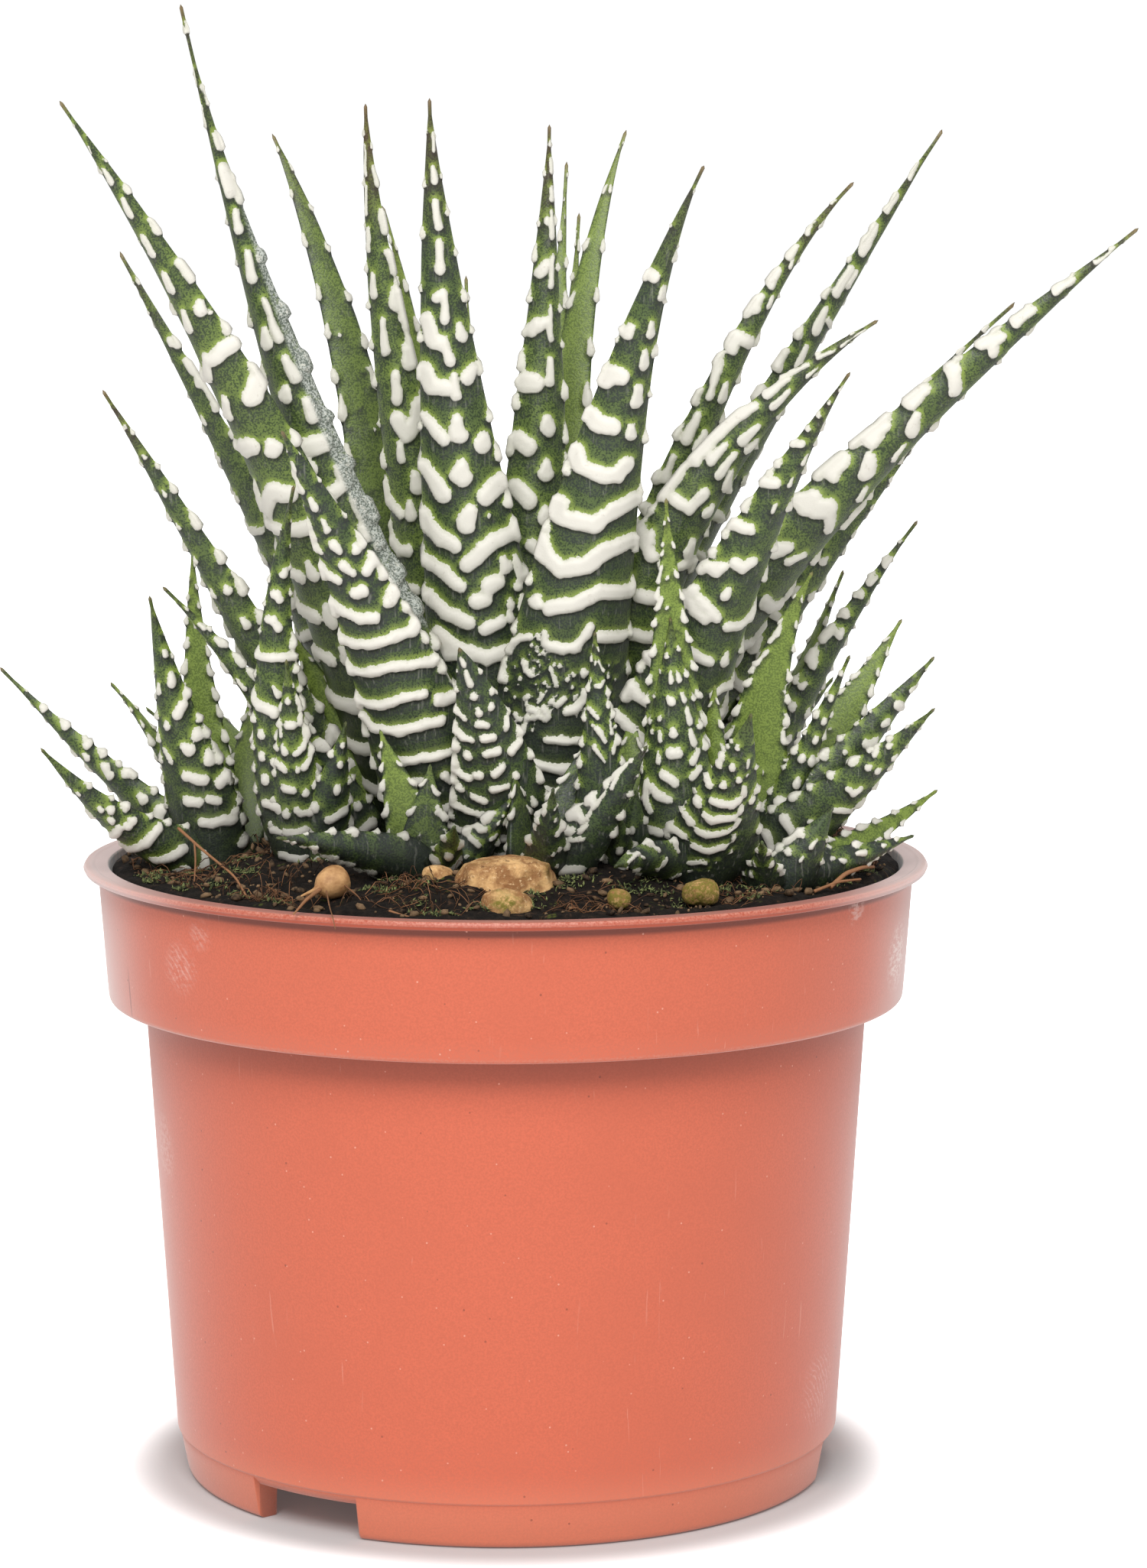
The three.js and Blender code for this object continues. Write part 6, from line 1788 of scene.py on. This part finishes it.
class HAWORTHIA_OT_leaves(Operator):
    """Build the main rosette: every leaf with its rows of white marks, and the crown"""

    bl_idname = "haworthia.leaves"
    bl_label = "Build leaves"

    def execute(self, context):
        settings = context.scene.haworthia_leaves
        relief = settings.relief / MM
        material = leaf_material(settings, *LEAF_SKIN)
        for number, (name, shape) in enumerate(MAIN_LEAVES.items()):
            kind = "back" if name in BACK_LEAVES else "dotted" if name in DOTTED_LEAVES else "main"
            habit = {**USUAL_MARKS, **LEAF_MARKS.get(name, {})}
            shell = Shell()
            add_leaf(shell, shape, habit, 100 + number, *LEAF_GRIDS[kind], relief)
            shell.finish("zebra_" + name, material, [name])
        self.crown(settings)
        return {"FINISHED"}

    @staticmethod
    def crown(settings):
        """A short stem that narrows to a blunt cone among the leaf feet."""
        foot, top, radius, top_radius = (CROWN[key] for key in ("foot", "top", "radius", "top_radius"))
        profile = rounded([
            (0.01, foot, 0), (radius, foot, 0.5), (radius, top - 6, 1.5), (top_radius, top, 1.5),
            (0.01, top, 0)], 6)
        grid = lathe_grid(profile, full_turn(48), CROWN["x"], CROWN["y"])
        shell = Shell()
        shell.add_tube(grid, flat_map(grid), plain_skin(grid.shape[:2], 0.6))
        material = leaf_material(settings, *YOUNG_SKIN)
        shell.finish("crown_stem", material, ["crown"])


class HAWORTHIA_OT_young(Operator):
    """Build the young rosettes round the foot of the main one"""

    bl_idname = "haworthia.young"
    bl_label = "Build young rosettes"

    def execute(self, context):
        settings = context.scene.haworthia_leaves
        soil, wall = context.scene.haworthia_soil, context.scene.haworthia_pot.wall / MM
        relief = YOUNG_RELIEF * settings.relief / MM
        material = leaf_material(settings, *YOUNG_SKIN)
        for number, (name, (stem, leaves)) in enumerate(YOUNG_ROSETTES.items()):
            kind = "young back" if "back" in name and name != "young_right_back" else "young"
            shell = Shell()
            for k, shape in enumerate(young_shapes(stem, leaves)):
                habit = {**YOUNG_MARKS, "strokes": YOUNG_STROKES.get((name, k), ())}
                habit["tone"] = YOUNG_TONES.get((name, k), habit["tone"])
                add_leaf(shell, shape, habit, 500 + 10 * number + k, *LEAF_GRIDS[kind], relief, young=True)
            self.stem(shell, stem, soil, wall)
            shell.finish("pup" + name[len("young"):], material, [name])
        return {"FINISHED"}

    @staticmethod
    def stem(shell, stem, soil, wall):
        """Adds the stem: an upright drum with a blunt cone on top."""
        x, y, start = stem
        foot = float(soil_height(x, y, soil, wall)) - YOUNG_STEM_DEPTH
        radius = YOUNG_STEM_RADIUS
        profile = rounded([
            (0.01, foot, 0), (radius, foot, 0.3), (radius, start, 1), (0.6 * radius, start + 3, 0.8),
            (0.01, start + 3, 0)], 4)
        grid = lathe_grid(profile, full_turn(32), x, y)
        shell.add_tube(grid, flat_map(grid), plain_skin(grid.shape[:2], 0.8))


class HAWORTHIA_OT_stage(Operator):
    """Set the floor, the lights and the camera"""

    bl_idname = "haworthia.stage"
    bl_label = "Set stage"

    def execute(self, context):
        settings = context.scene.haworthia_stage
        scene = context.scene
        scene.view_settings.view_transform = "Standard"
        self.floor(settings)
        self.surroundings(scene, settings)
        self.lamp("key", KEY_PLACE, KEY_TARGET, KEY_SIZE, settings.key)
        self.camera(scene)
        return {"FINISHED"}

    @staticmethod
    def surroundings(scene, settings):
        """White all round, which the view sees brighter than it lights."""
        world = bpy.data.worlds.new("white surroundings")
        world.use_nodes = True
        world.node_tree.nodes.clear()
        graph = Graph(world.node_tree)
        path = graph.add("ShaderNodeLightPath").outputs
        seen = graph.math("MULTIPLY_ADD", path["Is Glossy Ray"], 0.5, path["Is Camera Ray"])
        strength = graph.math("MULTIPLY_ADD", seen, 1.05 - settings.sky, settings.sky)
        background = graph.add("ShaderNodeBackground", {"Color": (1, 1, 1), "Strength": strength})
        graph.add("ShaderNodeOutputWorld", {"Surface": background.outputs[0]})
        scene.world = world

    @staticmethod
    def floor(settings):
        """A wide pale floor just under the pot, with a painted shadow near the pot that fades out, and a glow
        to the camera away from it.
        """
        mesh = bpy.data.meshes.new("floor")
        corners = [(x * FLOOR_REACH, y * FLOOR_REACH) for x, y in ((-1, -1), (1, -1), (1, 1), (-1, 1))]
        mesh.from_pydata([(x, y, CAD_LOW.z - 0.05 * MM) for x, y in corners], [], [(0, 1, 2, 3)])
        material, graph, shader = new_material("pale floor")
        shader.inputs["Roughness"].default_value = 0.9
        shader.inputs["Specular IOR Level"].default_value = 0.1
        reach_out = graph.distance(graph.places(), tuple(AXIS))
        # Painted shadow: the floor is darker near the pot; farther out it glows white to the camera
        near = tuple(0.6 * value for value in settings.floor)
        colour = graph.blend(graph.step(reach_out, FLOOR_NEAR, FLOOR_FAR), near, tuple(settings.floor))
        graph.feed(shader.inputs["Base Color"], colour)
        seen = graph.add("ShaderNodeLightPath").outputs["Is Camera Ray"]
        fade = graph.times(graph.step(reach_out, FLOOR_NEAR, FLOOR_FAR + 1), seen)
        graph.feed(shader.inputs["Emission Strength"], graph.math("MULTIPLY_ADD", fade, 1.0, 0.06))
        shader.inputs["Emission Color"].default_value = (1, 1, 1, 1)
        mesh.materials.append(material)
        floor = bpy.data.objects.new("floor", mesh)
        bpy.context.scene.collection.objects.link(floor)

    @staticmethod
    def lamp(name, place, target, size, power):
        """A square soft light that looks at a target."""
        data = bpy.data.lights.new(name, "AREA")
        data.size = size
        data.energy = power
        lamp = bpy.data.objects.new(name, data)
        lamp.location = place
        aim = np.array(target) - np.array(place)
        lamp.rotation_euler = (math.acos(-aim[2] / np.linalg.norm(aim)), 0, math.atan2(-aim[0], aim[1]))
        bpy.context.scene.collection.objects.link(lamp)

    @staticmethod
    def camera(scene):
        """The photograph's view of the pot."""
        data = bpy.data.cameras.new("camera")
        data.sensor_fit = "VERTICAL"
        data.sensor_height = 36
        data.lens = CAMERA_LENS
        data.clip_end = 20
        camera = bpy.data.objects.new("camera", data)
        camera.location = tuple((np.array(CAMERA_PLACE) + AXIS) * MM)
        camera.rotation_euler = (math.radians(90 - CAMERA_PITCH), 0, math.radians(-CAMERA_YAW))
        scene.collection.objects.link(camera)
        scene.camera = camera


class HAWORTHIA_PT_panel(Panel):
    """Lists the steps and the sizes and colours that may be changed."""

    bl_idname = "HAWORTHIA_PT_panel"
    bl_label = "Potted haworthia"
    bl_space_type = "VIEW_3D"
    bl_region_type = "UI"
    bl_category = "Haworthia"

    def draw(self, context):
        for operator, group in STEPS:
            box = self.layout.box()
            box.operator(operator.bl_idname)
            if group:
                settings = getattr(context.scene, group)
                for key in settings.bl_rna.properties.keys():
                    if key not in ("rna_type", "name"):
                        box.prop(settings, key)


STEPS = (
    (HAWORTHIA_OT_stage, "haworthia_stage"),
    (HAWORTHIA_OT_pot, "haworthia_pot"),
    (HAWORTHIA_OT_soil, "haworthia_soil"),
    (HAWORTHIA_OT_litter, None),
    (HAWORTHIA_OT_stones, None),
    (HAWORTHIA_OT_leaves, "haworthia_leaves"),
    (HAWORTHIA_OT_young, None),
)
GROUPS = {
    "haworthia_pot": HaworthiaPot,
    "haworthia_soil": HaworthiaSoil,
    "haworthia_leaves": HaworthiaLeaves,
    "haworthia_stage": HaworthiaStage,
}


def register():
    """Adds the property groups, the operators and the panel to Blender."""
    for name, group in GROUPS.items():
        bpy.utils.register_class(group)
        setattr(bpy.types.Scene, name, PointerProperty(type=group))
    for operator, _ in STEPS:
        bpy.utils.register_class(operator)
    bpy.utils.register_class(HAWORTHIA_PT_panel)


def unregister():
    """Takes them all out again."""
    bpy.utils.unregister_class(HAWORTHIA_PT_panel)
    for operator, _ in reversed(STEPS):
        bpy.utils.unregister_class(operator)
    for name, group in reversed(GROUPS.items()):
        delattr(bpy.types.Scene, name)
        bpy.utils.unregister_class(group)


def main():
    register()
    bpy.ops.haworthia.stage()
    bpy.ops.haworthia.pot()
    bpy.ops.haworthia.soil()
    bpy.ops.haworthia.litter()
    bpy.ops.haworthia.stones()
    bpy.ops.haworthia.leaves()
    bpy.ops.haworthia.young()


if __name__ == "__main__":
    main()
